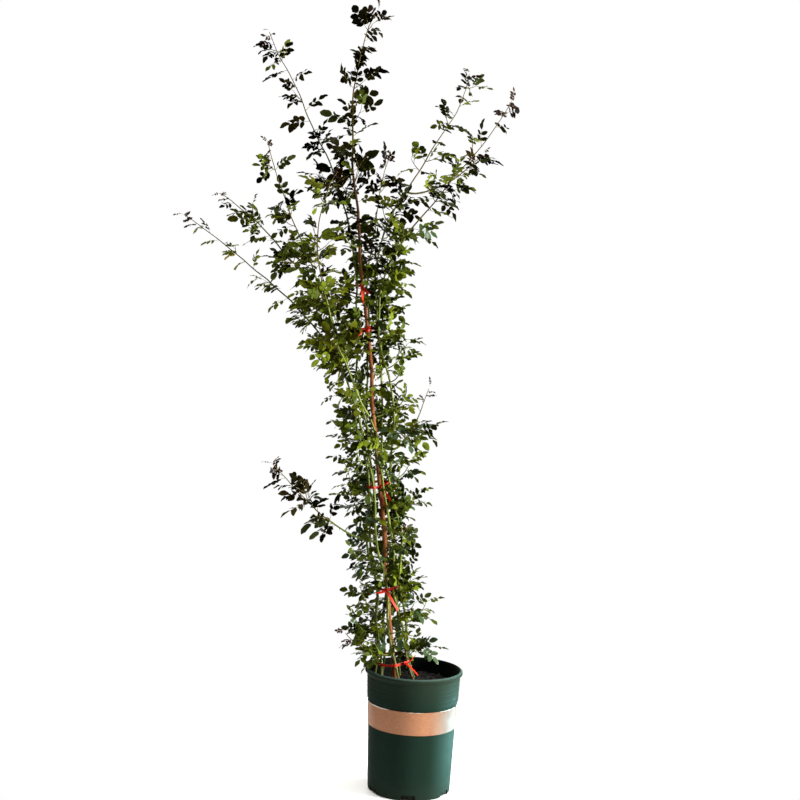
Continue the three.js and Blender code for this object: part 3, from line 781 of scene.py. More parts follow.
def make_chips():
    """Bits of bark and a few pale grains lying on the soil."""
    chance = random.Random(CHIP.seed)
    bank = Bank()
    edge = collar_radius(SOIL.top) - POT.wall - CHIP.edge_clear
    for _ in range(CHIP.count):
        radius = edge * CHIP.reach * math.sqrt(chance.random())
        angle = chance.uniform(0, math.tau)
        x, y = radius * math.cos(angle), radius * math.sin(angle)
        pale = chance.random() < CHIP.pale_share
        length = chance.uniform(*(CHIP.pale_length if pale else CHIP.length))
        if pale:
            width = length * CHIP.pale_width_share
        else:
            width = min(length * CHIP.width_share, chance.uniform(*CHIP.width))
        high = width * chance.uniform(*CHIP.flatness)
        corners = np.array(box_corners((length, width, high)))
        corners = corners * [[chance.uniform(*CHIP.worn) for _ in range(3)] for _ in corners]
        yaw, tip = chance.uniform(0, math.tau), chance.uniform(-CHIP.tip, CHIP.tip)
        spin = Matrix.Rotation(yaw, 3, "Z") @ Matrix.Rotation(tip, 3, "Y")
        place = np.array([x, y, soil_height(x, y) + high * CHIP.raised])
        finish = PALE if pale else chance.choice((DARK, DARK, LIGHT))
        bank.add(corners @ np.array(spin).T + place, BOX_FACES, finish)
    materials = [chip_material(*facts) for facts in CHIP_FINISHES]
    add_piece("soil_chips", bank, materials, "soil", sharp_deg=CHIP.sharp_deg)


# Cane paths, worked out as in the source
LINE_POINTS = Sizes(column=160, arch=90, shoot=60, twig=8, sprig=7)
SHOOT_FIRST_SEED = 20
# How far below its leaving height a cane's heading is read
LEAVE_LOOK = 1
NODE = Sizes(spacing=38, swelling=0.24, swell_length=3.5, zigzag=1.5, side=np.array([0.3, 1.0, 0.2]))
WANDER = Sizes(reach=8, length=120, stride=7.7, layer=0.5, fade_in=120, fade_out=60)
BARK = Sizes(
    step=6,
    sides=12,
    rib=0.05,
    ribs=5,
    rib_wind=60,
    grain=0.05,
    grain_turn=1.3,
    grain_length=9,
    sunk=9,
    bud_depth=0.9,
)
# Keeps a place on the column's axis from having no way out
NUDGE = 1e-6


def column_axis(z):
    return COLUMN.foot + COLUMN.lean * (z - COLUMN.foot[2])


def bow_at(z):
    """How far the canes bow out between one tie and the next."""
    for low, high in zip(TIE.heights, TIE.heights[1:]):
        if low <= z < high:
            return COLUMN.bow * (high - low) * math.sin(math.pi * (z - low) / (high - low)) ** 2
    return 0.0


def column_point(angle, off_axis, z):
    gathered = math.exp(-(z - COLUMN.foot[2]) / COLUMN.gather_height)
    radius = off_axis * (mix(COLUMN.radius, COLUMN.foot_radius, gathered) + bow_at(z))
    wound = angle + COLUMN.wind_per_height * (z - COLUMN.wind_zero_z)
    return column_axis(z) + radius * level_way(wound)


def outwards_at(place):
    level = place - column_axis(place[2])
    level[2] = 0
    return unit(level + NUDGE)


class Limb:
    """A cane or shoot: its path, thickness, bare length, and where it leaves the column or its cane."""

    def __init__(self, name, path, foot_radius, kind, bare, seed):
        self.name = name
        self.length = path.length
        self.bare = bare * path.length
        self.foot_radius = foot_radius
        self.kind = kind
        self.seed = seed
        self.leave = 0.0
        self.path = self.wandering(path)

    def wandering(self, path):
        """The path with the slight bends and the zigzag from node to node that a grown stem has."""
        points = []
        for distance in np.arange(0, path.length, BARK.step):
            side = across(NODE.side, path.heading(distance))
            place = Vector((self.seed * WANDER.stride, distance / WANDER.length, WANDER.layer))
            drift = WANDER.reach * np.array(noise.noise_vector(place))
            fade_out = min(1.0, (path.length - distance) / WANDER.fade_out)
            fade = min(1.0, distance / WANDER.fade_in) * fade_out
            zigzag = NODE.zigzag * (1 - 2 * abs((distance / NODE.spacing) % 2 - 1))
            points.append(path.at(distance) + fade * (drift + zigzag * side))
        return Path([*points, path.at(path.length)])

    def radius(self, distance):
        flare = self.kind.flare * math.exp(-distance / CANE.flare_height)
        share = min(1.0, distance / self.length) ** self.kind.taper
        return mix(self.foot_radius, self.kind.tip_radius, share) + flare

    def bud(self, distance, direction):
        """The place on the skin that faces a direction, and the way out of it."""
        out = across(direction, self.path.heading(distance))
        return self.path.at(distance) + out * self.radius(distance) * BARK.bud_depth, out


def grow_canes():
    canes = []
    rows = [(*row, FIRST_CANE_ANGLE - math.tau * i / len(RING_CANES), 1) for i, row in enumerate(RING_CANES)]
    rows.append((*CENTRE_CANE, 0.0, 0))
    for seed, (name, leave, bend, tip, bare, angle, off_axis) in enumerate(rows):
        heights = np.linspace(COLUMN.foot[2], leave, LINE_POINTS.column)
        column = [column_point(angle, off_axis, z) for z in heights]
        start, tip = column[-1], np.array(tip, float)
        heading = unit(start - column_point(angle, off_axis, leave - LEAVE_LOOK))
        lead = heading * CANE.lead_share * np.linalg.norm(tip - start)
        arch = bezier([start, start + lead, bend, tip], LINE_POINTS.arch)
        foot_radius = CANE.foot_radius if off_axis else CENTRE_FOOT_RADIUS
        cane = Limb(f"cane_{name}", Path([*column, *arch[1:]]), foot_radius, CANE, bare, seed)
        cane.leave = cane.path.distance_at_height(leave)
        cane.off_axis = off_axis
        canes.append(cane)
    return canes


def grow_shoots(canes):
    shoots = []
    for seed, (name, on, start_z, bend, tip, bare) in enumerate(SHOOTS, SHOOT_FIRST_SEED):
        cane = next(cane for cane in canes if cane.name == f"cane_{on}")
        distance = cane.path.distance_at_height(start_z)
        place, out = cane.bud(distance, np.array(bend, float) - cane.path.at(distance))
        lead = place + out * SHOOT.lead_share * np.linalg.norm(np.array(bend) - place)
        path = Path(bezier([place, lead, bend, tip], LINE_POINTS.shoot))
        shoots.append(Limb(f"shoot_{name}", path, SHOOT.foot_radius, SHOOT, bare, seed))
    return shoots


def make_bark(limb, material, slot):
    """The limb's bare length, with ribs, grain and a swelling at each node."""
    distances = np.arange(0, limb.bare, BARK.step / 2)
    points = [limb.path.at(distance) for distance in distances]
    radii = [limb.radius(distance) for distance in distances]
    angles = round_angles(BARK.sides)
    relief = []
    for distance in distances:
        to_node = abs((distance + NODE.spacing / 2) % NODE.spacing - NODE.spacing / 2)
        swelling = NODE.swelling * math.exp(-((to_node / NODE.swell_length) ** 2))
        ribs = BARK.rib * np.cos(BARK.ribs * angles + distance / BARK.rib_wind + limb.seed)
        along = distance / BARK.grain_length
        grain = [noise.noise(Vector((limb.seed, angle * BARK.grain_turn, along))) for angle in angles]
        relief.append(swelling + ribs + BARK.grain * np.array(grain))
    if limb.name.startswith("cane"):
        points.insert(0, points[0] - UP * BARK.sunk)
        radii.insert(0, radii[0])
        relief.insert(0, relief[0])
    bank = Bank()
    bank.add(*tube(points, radii, BARK.sides, relief))
    add_piece(f"{limb.name}_bark", bank, [material], slot, limb.name)


# Rings are share of the length and share of the foot's width, and the foot is oval
PRICKLE = Sizes(
    seed=12,
    first=14.0,
    spacing=17,
    spacing_range=(0.4, 1.7),
    length=5.0,
    base=1.9,
    hook=2.2,
    sides=5,
    side=np.array([1.0, 0.2, 0.1]),
    rings=((0.0, 1.0), (0.35, 0.5), (0.72, 0.22), (1.0, 0.03)),
    foot=(0.6, 1.3),
    depth=0.8,
    least_size=0.45,
    full_radius=6,
    colour=srgb(140, 104, 62),
)


def add_prickle(bank, limb, distance, turn):
    """A hooked cone with an oval foot."""
    heading = limb.path.heading(distance)
    out = turned(across(PRICKLE.side, heading), heading, turn)
    size = min(1.0, PRICKLE.least_size + limb.radius(distance) / PRICKLE.full_radius)
    root = limb.path.at(distance) + out * limb.radius(distance) * PRICKLE.depth
    side = np.cross(heading, out)
    wide, tall = PRICKLE.foot
    corners = []
    for share, girth in PRICKLE.rings:
        centre = root + (out * PRICKLE.length * share - heading * PRICKLE.hook * share**2) * size
        for i in range(PRICKLE.sides):
            angle = math.tau * i / PRICKLE.sides
            across_it = side * math.cos(angle) * wide + heading * math.sin(angle) * tall
            corners.append(centre + across_it * PRICKLE.base * girth * size)
    rings = len(PRICKLE.rings)
    cap = np.arange(PRICKLE.sides) + (rings - 1) * PRICKLE.sides
    bank.add(np.array(corners), [grid_faces(rings, PRICKLE.sides, True), [cap]])


def make_prickles(limbs):
    chance = random.Random(PRICKLE.seed)
    bank = Bank()
    for limb in limbs:
        distance = PRICKLE.first
        while distance < limb.bare:
            add_prickle(bank, limb, distance, chance.uniform(0, math.tau))
            distance += PRICKLE.spacing * chance.uniform(*PRICKLE.spacing_range)
    add_piece("prickles", bank, [stem_material("prickle_horn", PRICKLE.colour)], "cane")


# Leaves. The front and blunt powers set a leaflet's widest place and how blunt its ends are
LEAFLET = Sizes(
    stations=(0.07, 0.22, 0.4, 0.58, 0.75, 0.9),
    front=0.88,
    blunt=0.68,
    tooth=0.05,
    wave=0.05,
    waves=9,
    fold=0.27,
)
# Fold along the midrib, curl along the length and phase of the wavy edge
LEAFLET_FORMS = [(0.1, 0.1, 0.3), (0.3, 0.16, 1.6), (0.5, 0.06, 2.4), (0.2, 0.3, 4.0), (0.36, -0.06, 5.2)]


def leaflet_form(fold, curl, phase):
    """A leaflet one long and two wide: folded along its midrib, curled, with a toothed and wavy edge."""
    corners = []
    for i, along in enumerate(LEAFLET.stations):
        half = math.sin(math.pi * along**LEAFLET.front) ** LEAFLET.blunt * (1 + LEAFLET.tooth * (-1) ** i)
        for hand in (-1, 0, 1):
            wave = LEAFLET.wave * math.sin(along * LEAFLET.waves + phase) * hand
            lift = (fold * LEAFLET.fold * abs(hand) + wave) * half - curl * along**2
            corners.append((along, hand * half, lift))
    return np.array([*corners, (0.0, 0.0, 0.0), (1.0, 0.0, -curl)])


LEAFLETS = [leaflet_form(*form) for form in LEAFLET_FORMS]
LEAFLET_ROOT = 3 * len(LEAFLET.stations)
LEAFLET_TIP = LEAFLET_ROOT + 1
LEAFLET_FACES = [
    grid_faces(len(LEAFLET.stations), 3, False),
    [[LEAFLET_ROOT, 1, 0], [LEAFLET_ROOT, 2, 1]],
    [[LEAFLET_TIP, LEAFLET_ROOT - 3, LEAFLET_ROOT - 2], [LEAFLET_TIP, LEAFLET_ROOT - 2, LEAFLET_ROOT - 1]],
]
# A leaf's stalk, its leaflets, and the way leaves lie on their stem. A range is drawn from for each leaf
LEAF = Sizes(
    stalk=46,
    stalk_radius=0.55,
    stalk_thinning=0.6,
    stalk_rings=6,
    stalk_sides=4,
    sag=0.16,
    sag_range=(0.2, 1.6),
    bow_range=(-0.06, 0.06),
    leaflet=25,
    width_share=0.6,
    width_range=(0.88, 1.12),
    leaflet_tilt=0.3,
    places={5: (0.42, 0.74), 7: (0.32, 0.56, 0.8)},
    seven_share=0.35,
    pair_angle=1.12,
    pair_angle_range=(0.82, 1.15),
    pair_droop=(-0.1, 0.25),
    pair_sizes=(0.82, 1.0),
    pair_size_range=(0.86, 1.08),
    end_droop=(0, 0.2),
    end_size_range=(1.05, 1.25),
    size_range=(0.8, 1.12),
    side=np.array([1.0, 0.0, 0.0]),
    turn_range=(-0.5, 0.5),
    spread=0.85,
    end_spread=0.25,
    forward=0.55,
    forward_range=(0.5, 1.2),
    outward=0.15,
    facing=(0.55, 1.0, 1.1),
    flattened=0.6,
    level_lift=2.0,
    spray_share=0.5,
)
SPRIG = Sizes(radius=1.1, tip_radius=0.6, climb=0.25, lead=0.6, sides=5, first_leaf=0.25)
STEM_SIDES = 6
FOLIAGE_SEEDS = {"crown_left": 113, "crown_right": 202, "shoots": 301, "column_low": 417, "column_high": 505}


class Foliage:
    """Leaves and the fine stems that carry them, gathered into one piece of each kind."""

    def __init__(self, name, level=0.0):
        self.name = name
        self.chance = random.Random(FOLIAGE_SEEDS[name])
        self.level = level
        self.leaves = Bank()
        self.stems = Bank()

    def add_leaflet(self, root, direction, normal, length, tone):
        chance = self.chance
        normal = across(normal + jitter(chance, LEAF.leaflet_tilt), direction)
        side = np.cross(normal, direction)
        half = length * LEAF.width_share / 2 * chance.uniform(*LEAF.width_range)
        basis = np.array([direction * length, side * half, normal * length])
        self.leaves.add(chance.choice(LEAFLETS) @ basis + root, LEAFLET_FACES, tone)

    def add_leaf(self, root, direction, facing, size, tone, stem_tone):
        """A stalk with two or three pairs of leaflets and one at its end."""
        chance = self.chance
        normal = across(facing, direction)
        side = np.cross(normal, direction)
        long = LEAF.stalk * size
        bow = chance.uniform(*LEAF.bow_range)
        shares = np.linspace(0, 1, LEAF.stalk_rings)
        sag = LEAF.sag * chance.uniform(*LEAF.sag_range)
        line = [root + long * (direction * t - normal * sag * t * t + side * bow * t * t) for t in shares]
        path = Path(line)
        thin = LEAF.stalk_radius * LEAF.stalk_thinning
        radii = np.linspace(LEAF.stalk_radius, thin, LEAF.stalk_rings) * math.sqrt(size)
        self.stems.add(*tube(line, radii, LEAF.stalk_sides), stem_tone)
        count = 7 if chance.random() < LEAF.seven_share else 5
        for order, share in enumerate(LEAF.places[count]):
            place = path.at(share * path.length)
            heading = path.heading(share * path.length)
            for hand in (-1, 1):
                angle = LEAF.pair_angle * chance.uniform(*LEAF.pair_angle_range)
                way = heading * math.cos(angle) + side * hand * math.sin(angle)
                way = way - normal * chance.uniform(*LEAF.pair_droop)
                length = LEAF.leaflet * size * mix(*LEAF.pair_sizes, order / 2)
                length *= chance.uniform(*LEAF.pair_size_range)
                self.add_leaflet(place, unit(way), normal, length, tone)
        way = unit(path.heading(path.length) - normal * chance.uniform(*LEAF.end_droop))
        length = LEAF.leaflet * size * chance.uniform(*LEAF.end_size_range)
        self.add_leaflet(line[-1], way, normal, length, tone)

    def add_stem(self, points, radius, tip_radius, tone, sides=STEM_SIDES):
        self.stems.add(*tube(points, np.linspace(radius, tip_radius, len(points)), sides), tone)

    def leaf_way(self, path, distance, turn, spread):
        """The place a leaf or sprig leaves a stem from, its way, and the way out of the column there."""
        centre, tangent = path.at(distance), path.heading(distance)
        normal = across(LEAF.side, tangent)
        binormal = np.cross(tangent, normal)
        outwards = outwards_at(centre)
        way = tangent * LEAF.forward * self.chance.uniform(*LEAF.forward_range) + outwards * LEAF.outward
        way = way + spread * (normal * math.cos(turn) + binormal * math.sin(turn))
        way[2] *= 1 - LEAF.flattened * self.level
        return centre, unit(way), outwards

    def leaf_facing(self, outwards):
        """Leaves look up and outwards, each tipped its own way, and the more level the more they look up."""
        up, out, tip = LEAF.facing
        raised = up + LEAF.level_lift * self.level
        return UP * raised + outwards * self.chance.uniform(0, out) + jitter(self.chance, tip)

    def wound(self, order):
        """The turn round its stem of the leaf with this order, give or take a little."""
        return order * GOLDEN_ANGLE + self.chance.uniform(*LEAF.turn_range)

    def grow_on(self, path, places, sizes, tones, stem_tone):
        """Leaves wind round a stem, one at each place, and the last looks ahead. Most share a colour."""
        chance = self.chance
        count = len(places)
        shared = tones(chance)
        for i, distance in enumerate(places, 1):
            spread = LEAF.end_spread if i == count else LEAF.spread
            centre, way, outwards = self.leaf_way(path, distance, self.wound(i), spread)
            size = mix(*sizes, i / count) * chance.uniform(*LEAF.size_range)
            tone = shared if chance.random() < LEAF.spray_share else tones(chance)
            self.add_leaf(centre, way, self.leaf_facing(outwards), size, tone, stem_tone)

    def add_sprig(self, root, way, long, leaves, sizes, tones, stem_tone):
        end = root + way * long + UP * long * SPRIG.climb
        points = bezier([root, root + way * long * SPRIG.lead, end], LINE_POINTS.sprig)
        self.add_stem(points, SPRIG.radius, SPRIG.tip_radius, stem_tone, SPRIG.sides)
        path = Path(points)
        places = np.linspace(SPRIG.first_leaf, 1.0, leaves) * path.length
        self.grow_on(path, places, sizes, tones, stem_tone)

    def make(self, leaf_materials, stem_materials, nodes):
        add_piece(f"{self.name}_leaves", self.leaves, leaf_materials, "leaves", *nodes)
        add_piece(f"{self.name}_stems", self.stems, stem_materials, "leaves")


# Leaf colours dealt out by spray
def dealt(shares):
    names, weights = zip(*shares.items())
    return lambda chance: TONE[chance.choices(names, weights)[0]]


# The dark tone in these tables is painted shade, dealt most to the core, the right side, the crown's upper
# halves and the shaded leaves.
LOW_TONES = dealt({"deep": 26, "mid": 34, "waxy": 14, "olive": 11, "light": 15})
MIDDLE_TONES = dealt({"deep": 10, "mid": 36, "waxy": 2, "olive": 14, "light": 38})
LEFT_TONES = dealt({"olive": 34, "mid": 26, "deep": 14, "light": 13, "dark": 13})
CORE_TONES = dealt({"dark": 50, "bronze": 8, "deep": 26, "mid": 10, "olive": 6})
RIGHT_TONES = dealt({"dark": 50, "bronze": 8, "deep": 12, "mid": 18, "olive": 8, "light": 4})
PALE_TONES = dealt({"olive": 20, "light": 24, "mid": 30, "deep": 26})
HIGH_TONES = dealt({"dark": 78, "bronze": 16, "olive": 6})
FAR_TONES = dealt({"light": 60, "olive": 34, "yellow": 6})
YOUNG_TONES = dealt({"young": 1})
DEEP_TONES = dealt({"deep": 40, "mid": 30, "dark": 14, "olive": 9, "light": 7})
SHADE_TONES = dealt({"dark": 38, "bronze": 20, "olive": 8, "deep": 34})

# For each leafy limb: where its leaves begin below its leafy end, how many sprigs, the share of nodes
# with a leaf between its clumps, how large its leaves and its last leaves are, how level they lie, and
# the colours of its lower and its upper half
LEAFY_WAYS = {
    "cane_back": (0.15, 0.6, 0.5, 0.9, 1.0, 0.3, CORE_TONES, HIGH_TONES),
    "cane_right_high": (0.1, 0.5, 0.6, 0.97, 1.25, 0.55, CORE_TONES, PALE_TONES),
    "cane_right_low": (0.3, 0.65, 0.5, 1.02, 1.5, 0.45, MIDDLE_TONES, RIGHT_TONES),
    "cane_front": (0.6, 0.9, 0.5, 1.0, 1.0, 0.2, LEFT_TONES, LEFT_TONES),
    "cane_left_high": (0.45, 1.2, 0.6, 1.0, 1.0, 0.3, LEFT_TONES, LEFT_TONES),
    "cane_left_far": (0.35, 0.3, 0.8, 0.8, 1.0, 0.6, LEFT_TONES, FAR_TONES),
    "cane_left_top": (0.35, 0.5, 1.0, 0.95, 1.0, 0.6, CORE_TONES, HIGH_TONES),
    "cane_centre": (0.35, 0.6, 0.95, 1.1, 1.4, 0.0, CORE_TONES, HIGH_TONES),
    "shoot_low_left": (0.8, 0.9, 0.9, 1.0, 1.4, 0.3, SHADE_TONES, HIGH_TONES),
    "shoot_low_twig": (0.6, 0.3, 0.5, 0.8, 1.0, 0.3, LOW_TONES, LOW_TONES),
    "shoot_right_small": (0.6, 1.0, 1.0, 0.9, 1.0, 0.4, LOW_TONES, LOW_TONES),
    "shoot_left_mid": (0.6, 1.0, 0.6, 0.85, 1.0, 0.4, LEFT_TONES, LEFT_TONES),
    "shoot_right_mid": (0.6, 0.8, 0.5, 0.95, 1.2, 0.55, PALE_TONES, PALE_TONES),
}
LEAFY_STEM = Sizes(overlap=4, step=8, radius_share=0.98, tip_radius=0.8, sides=7)
CROWN = Sizes(spacing=27, sizes=(1.15, 0.9), long=(46, 20), long_range=(0.3, 1.3), leaves=(4.2, 2.8))
CLUMP = Sizes(spacing=120, sprigs=(3.6, 1.8), sprig_turn=2.2, sprig_sizes=(0.9, 0.7))
TIP_LEAVES = Sizes(length=40, count=4, sizes=(0.75, 0.3), short=8)


def grow_end(foliage, limb):
    """Carries a limb on to its tip, with a leaf at each node and sprigs that gather in clumps."""
    chance = foliage.chance
    begin, sprigs, lone_share, scale, tip_scale, foliage.level, *halves = LEAFY_WAYS[limb.name]
    start = mix(limb.leave, limb.bare, begin)
    last = limb.length - TIP_LEAVES.short
    distances = np.arange(limb.bare - LEAFY_STEM.overlap, last, LEAFY_STEM.step)
    points = [limb.path.at(distance) for distance in distances]
    radius = limb.radius(limb.bare) * LEAFY_STEM.radius_share
    foliage.add_stem(points, radius, LEAFY_STEM.tip_radius, STEM["olive"], LEAFY_STEM.sides)
    tips = np.linspace(last - TIP_LEAVES.length, last, TIP_LEAVES.count)
    phase = chance.random()
    for i, distance in enumerate(np.arange(start, tips[0], CROWN.spacing), 1):
        share = (distance - start) / (tips[0] - start)
        tones = halves[int(share > 0.5)]
        size = scale * mix(*CROWN.sizes, share)
        turn = foliage.wound(i)
        wave = 0.5 + 0.5 * math.cos(math.tau * (distance / CLUMP.spacing + phase))
        if chance.random() < mix(lone_share, 1.0, wave):
            centre, way, outwards = foliage.leaf_way(limb.path, distance, turn, LEAF.spread)
            leaf_size = size * chance.uniform(*LEAF.size_range)
            facing = foliage.leaf_facing(outwards)
            foliage.add_leaf(centre, way, facing, leaf_size, tones(chance), STEM["olive"])
        for k in range(1, 1 + round(sprigs * mix(*CLUMP.sprigs, share) * wave**2)):
            sprig_turn = turn + CLUMP.sprig_turn * k
            centre, way, outwards = foliage.leaf_way(limb.path, distance, sprig_turn, LEAF.spread)
            long = scale * mix(*CROWN.long, share) * chance.uniform(*CROWN.long_range)
            leaves = round(mix(*CROWN.leaves, share))
            sizes = [size * part for part in CLUMP.sprig_sizes]
            foliage.add_sprig(centre, way, long, leaves, sizes, tones, STEM["olive"])
    tip_sizes = [size * tip_scale for size in TIP_LEAVES.sizes]
    foliage.grow_on(limb.path, tips, tip_sizes, YOUNG_TONES, STEM["red"])


def grow_ends(limbs, name):
    foliage = Foliage(name)
    for limb in limbs:
        grow_end(foliage, limb)
    return foliage


# Leaves and twigs between the solids' twigs up the column
FINE = Sizes(
    low_spacing=23,
    high_spacing=25,
    spacing_range=(0.7, 1.3),
    lowest=306,
    odd_shares={"yellow": 0.008, "dead": 0.012},
    twig_share=0.4,
    turn=(0.3, 2.4),
    reach=(18, 60),
    climb=(-16, 40),
    leaves=(3, 4, 5),
    solid_twig_leaves=5,
    first_leaf=0.3,
    leaf_rise=(-0.3, 0.6),
    leaf_sizes=(0.68, 1.0),
    spray_sizes=(0.85, 0.65),
    level=0.3,
    past_leave=10,
    core_rise=210,
    lane=9,
    lane_look=25,
)
COLUMN_SPLIT_Z = 760
CORE_CANES = ("cane_right_high", "cane_right_low", "cane_centre")


def add_lateral(foliage, cane, distance, turn, reach, climb, leaves, tones):
    """A leafy twig that leaves its cane squarely, then turns upwards."""
    place, out = cane.bud(distance, turned(outwards_at(cane.path.at(distance)), UP, turn))
    corner = place + out * reach * TWIG.corner_share
    points = bezier([place, corner, place + out * reach + UP * climb], LINE_POINTS.twig)
    foliage.add_stem(points, TWIG.radius, TWIG.tip_radius, STEM["green"])
    path = Path(points)
    places = np.linspace(FINE.first_leaf, 1.0, leaves) * path.length
    foliage.grow_on(path, places, FINE.spray_sizes, tones, STEM["green"])


def column_twigs(canes):
    """The places of the solids' leafy twigs: cane and height of each."""
    ring = [cane for cane in canes if cane.off_axis]
    places = []
    for i in range(TWIG.count):
        z = mix(TWIG.lowest, TWIG.highest, i / (TWIG.count - 1))
        here = [cane for cane in ring if cane.path.at(cane.bare)[2] > z + TWIG.climb]
        places.append((here[(i * TWIG.cane_stride) % len(here)], z))
    return places


def before_wood(place):
    """Whether a place lies in the lane before the woody cane, where the leaves are thin."""
    off = place - column_axis(place[2])
    return off[1] < 0 and abs(off[0]) < FINE.lane


def column_spans(canes, low, high, tones):
    """Stretches of cane that carry the column's leaves: cane, start, end and colours of each."""
    spans, core = [], []
    for cane in canes:
        leave_z = cane.path.at(cane.leave)[2]
        end = cane.leave + FINE.past_leave
        reach = cane.path.distance_at_height(high) if high < leave_z else end
        spans.append((cane, cane.path.distance_at_height(low), min(end, reach), tones))
        if cane.name in CORE_CANES and high > leave_z:
            core.append((cane, end, end + FINE.core_rise, DEEP_TONES))
    return spans + core


def odd_tone(chance, tones):
    """Now and then a leaf has turned yellow or died."""
    drawn = chance.random()
    for tone, share in FINE.odd_shares.items():
        if drawn < share:
            return TONE[tone]
        drawn -= share
    return tones(chance)


def grow_column(canes, name, low, high, spacing, tones):
    """Twigs and leaves up one part of the column: the solids' twigs, and finer ones from node to node."""
    foliage = Foliage(name, FINE.level)
    chance = foliage.chance
    for cane, z in column_twigs(canes):
        if low <= z < high:
            distance = cane.path.distance_at_height(z)
            leaves = FINE.solid_twig_leaves
            add_lateral(foliage, cane, distance, 0, TWIG.reach, TWIG.climb, leaves, tones)
    for cane, start, end, tones in column_spans(canes, low, high, tones):
        distance = start + chance.uniform(0, spacing)
        while distance < end:
            outwards = outwards_at(cane.path.at(distance))
            turn = chance.choice((-1, 1)) * chance.uniform(*FINE.turn)
            place, out = cane.bud(distance, turned(outwards, UP, turn))
            if before_wood(place + out * FINE.lane_look):
                turn += math.pi
            if chance.random() < FINE.twig_share:
                reach, climb = chance.uniform(*FINE.reach), chance.uniform(*FINE.climb)
                add_lateral(foliage, cane, distance, turn, reach, climb, chance.choice(FINE.leaves), tones)
            else:
                place, out = cane.bud(distance, turned(outwards, UP, turn))
                way = unit(out + UP * chance.uniform(*FINE.leaf_rise))
                facing = foliage.leaf_facing(out)
                size = chance.uniform(*FINE.leaf_sizes)
                foliage.add_leaf(place, way, facing, size, odd_tone(chance, tones), STEM["green"])
            distance += spacing * chance.uniform(*FINE.spacing_range)
    return foliage


# Ties
LOOP = Sizes(points=72, tilt_turn=0.7, raised=2.5, cane_swell=1.2, sharp_deg=40)
# Nearly a whole turn round a cane
CANE_RIM_ANGLES = np.linspace(0, 6.2, 14)
KNOT = Sizes(radius=3.4, tightening=0.4, wraps=3, slant=0.8, points=16, width_share=0.8, stand_off=1.6)
TAIL = Sizes(points=14, lead=12, rise=5, next_lower=8, twist=0.9, tip_up=0.2)
# For each tie: the knot's place round the loop, how far the loop tilts, and its two tails' ends from the knot
TIE_LAYS = [
    (-0.9, 7.0, [(34, -24, -20), (26, -14, 24)]),
    (-1.7, 5.0, [(30, -16, -44), (-20, -22, -4)]),
    (-1.2, 6.0, [(10, -12, -46), (22, -14, -30)]),
    (-1.9, 4.0, [(-18, -18, -16), (12, -20, 10)]),
    (-1.4, 5.0, [(8, -20, -40), (20, -16, -18)]),
]


def hull_of(points):
    """The corners of a convex outline round level points."""
    ordered = sorted(map(tuple, points))

    def half(run):
        chain = []
        for x, y in run:
            while len(chain) > 1:
                (ax, ay), (bx, by) = chain[-2:]
                if (bx - ax) * (y - ay) - (by - ay) * (x - ax) > 0:
                    break
                chain.pop()
            chain.append((x, y))
        return chain[:-1]

    return half(ordered) + half(ordered[::-1])


def tie_rise(out, tilt):
    return tilt * math.sin(math.atan2(out[1], out[0]) + LOOP.tilt_turn) + LOOP.raised


def tie_loop(canes, z, tilt):
    """Points round the canes and the way out at each, tilted as a hand-tied strip is."""
    rim = []
    for cane in canes:
        distance = cane.path.distance_at_height(z)
        if distance >= cane.leave:
            continue
        rise = tie_rise(cane.path.at(distance) - column_axis(z), tilt)
        centre = cane.path.at(distance + rise) - COLUMN.lean * rise
        reach = cane.radius(distance) * LOOP.cane_swell + TIE.clear
        rim += [(centre + reach * level_way(a))[:2] for a in CANE_RIM_ANGLES]
    corners = np.array(hull_of(rim))
    closed = Path([(*corner, z) for corner in [*corners, corners[0]]])
    middle = corners.mean(0)
    points, outs = [], []
    for distance in np.linspace(0, closed.length, LOOP.points, endpoint=False):
        point = closed.at(distance)
        out = np.array([*(point[:2] - middle), 0.0])
        points.append(point + COLUMN.lean * tie_rise(out, tilt))
        outs.append(unit(out))
    return np.array(points), np.array(outs)


def add_tie(canes, number, z, lay, material):
    """A loop round the canes, a knot of a few wraps and two tails."""
    knot_angle, tilt, tails = lay
    bank = Bank()
    points, outs = tie_loop(canes, z, tilt)
    bank.add(*ribbon(points, outs, TIE.width, TIE.thickness, True))
    at = int(np.argmin(abs(np.arctan2(outs[:, 1], outs[:, 0]) - knot_angle)))
    out = outs[at]
    knot = points[at] + out * KNOT.stand_off
    along = unit(points[(at + 1) % len(points)] - points[at - 1])
    for wrap in range(KNOT.wraps):
        axis = unit(along + UP * (wrap - 1) * KNOT.slant)
        first = across(out, axis)
        second = np.cross(axis, first)
        circle = [first * math.cos(a) + second * math.sin(a) for a in round_angles(KNOT.points)]
        radius = KNOT.radius - KNOT.tightening * wrap
        line = [knot + radius * way for way in circle]
        bank.add(*ribbon(line, circle, TIE.width * KNOT.width_share, TIE.thickness, True))
    for hand, tail in enumerate(tails):
        end = knot + np.array(tail, float)
        lead = knot + out * TAIL.lead + UP * (TAIL.rise - TAIL.next_lower * hand)
        line = bezier([knot, lead, end], TAIL.points)
        twists = [TAIL.twist * (hand * 2 - 1) * i / (TAIL.points - 1) for i in range(TAIL.points)]
        faces_out = [turned(out, unit(end - knot), twist) + UP * TAIL.tip_up for twist in twists]
        bank.add(*ribbon(line, faces_out, TIE.width, TIE.thickness))
    add_piece(f"tie_strip_{number}", bank, [material], "tie", f"tie_{number}", sharp_deg=LOOP.sharp_deg)


# Build the plant
make_pot()
make_band()
make_soil()
make_chips()

canes = grow_canes()
shoots = grow_shoots(canes)
green_bark, wood = cane_material(), woody_material()
for limb in [*canes, *shoots]:
    centre = limb.name == "cane_centre"
    make_bark(limb, wood if centre else green_bark, "woody_cane" if centre else "cane")
make_prickles([limb for limb in [*canes, *shoots] if limb.name != "cane_centre"])

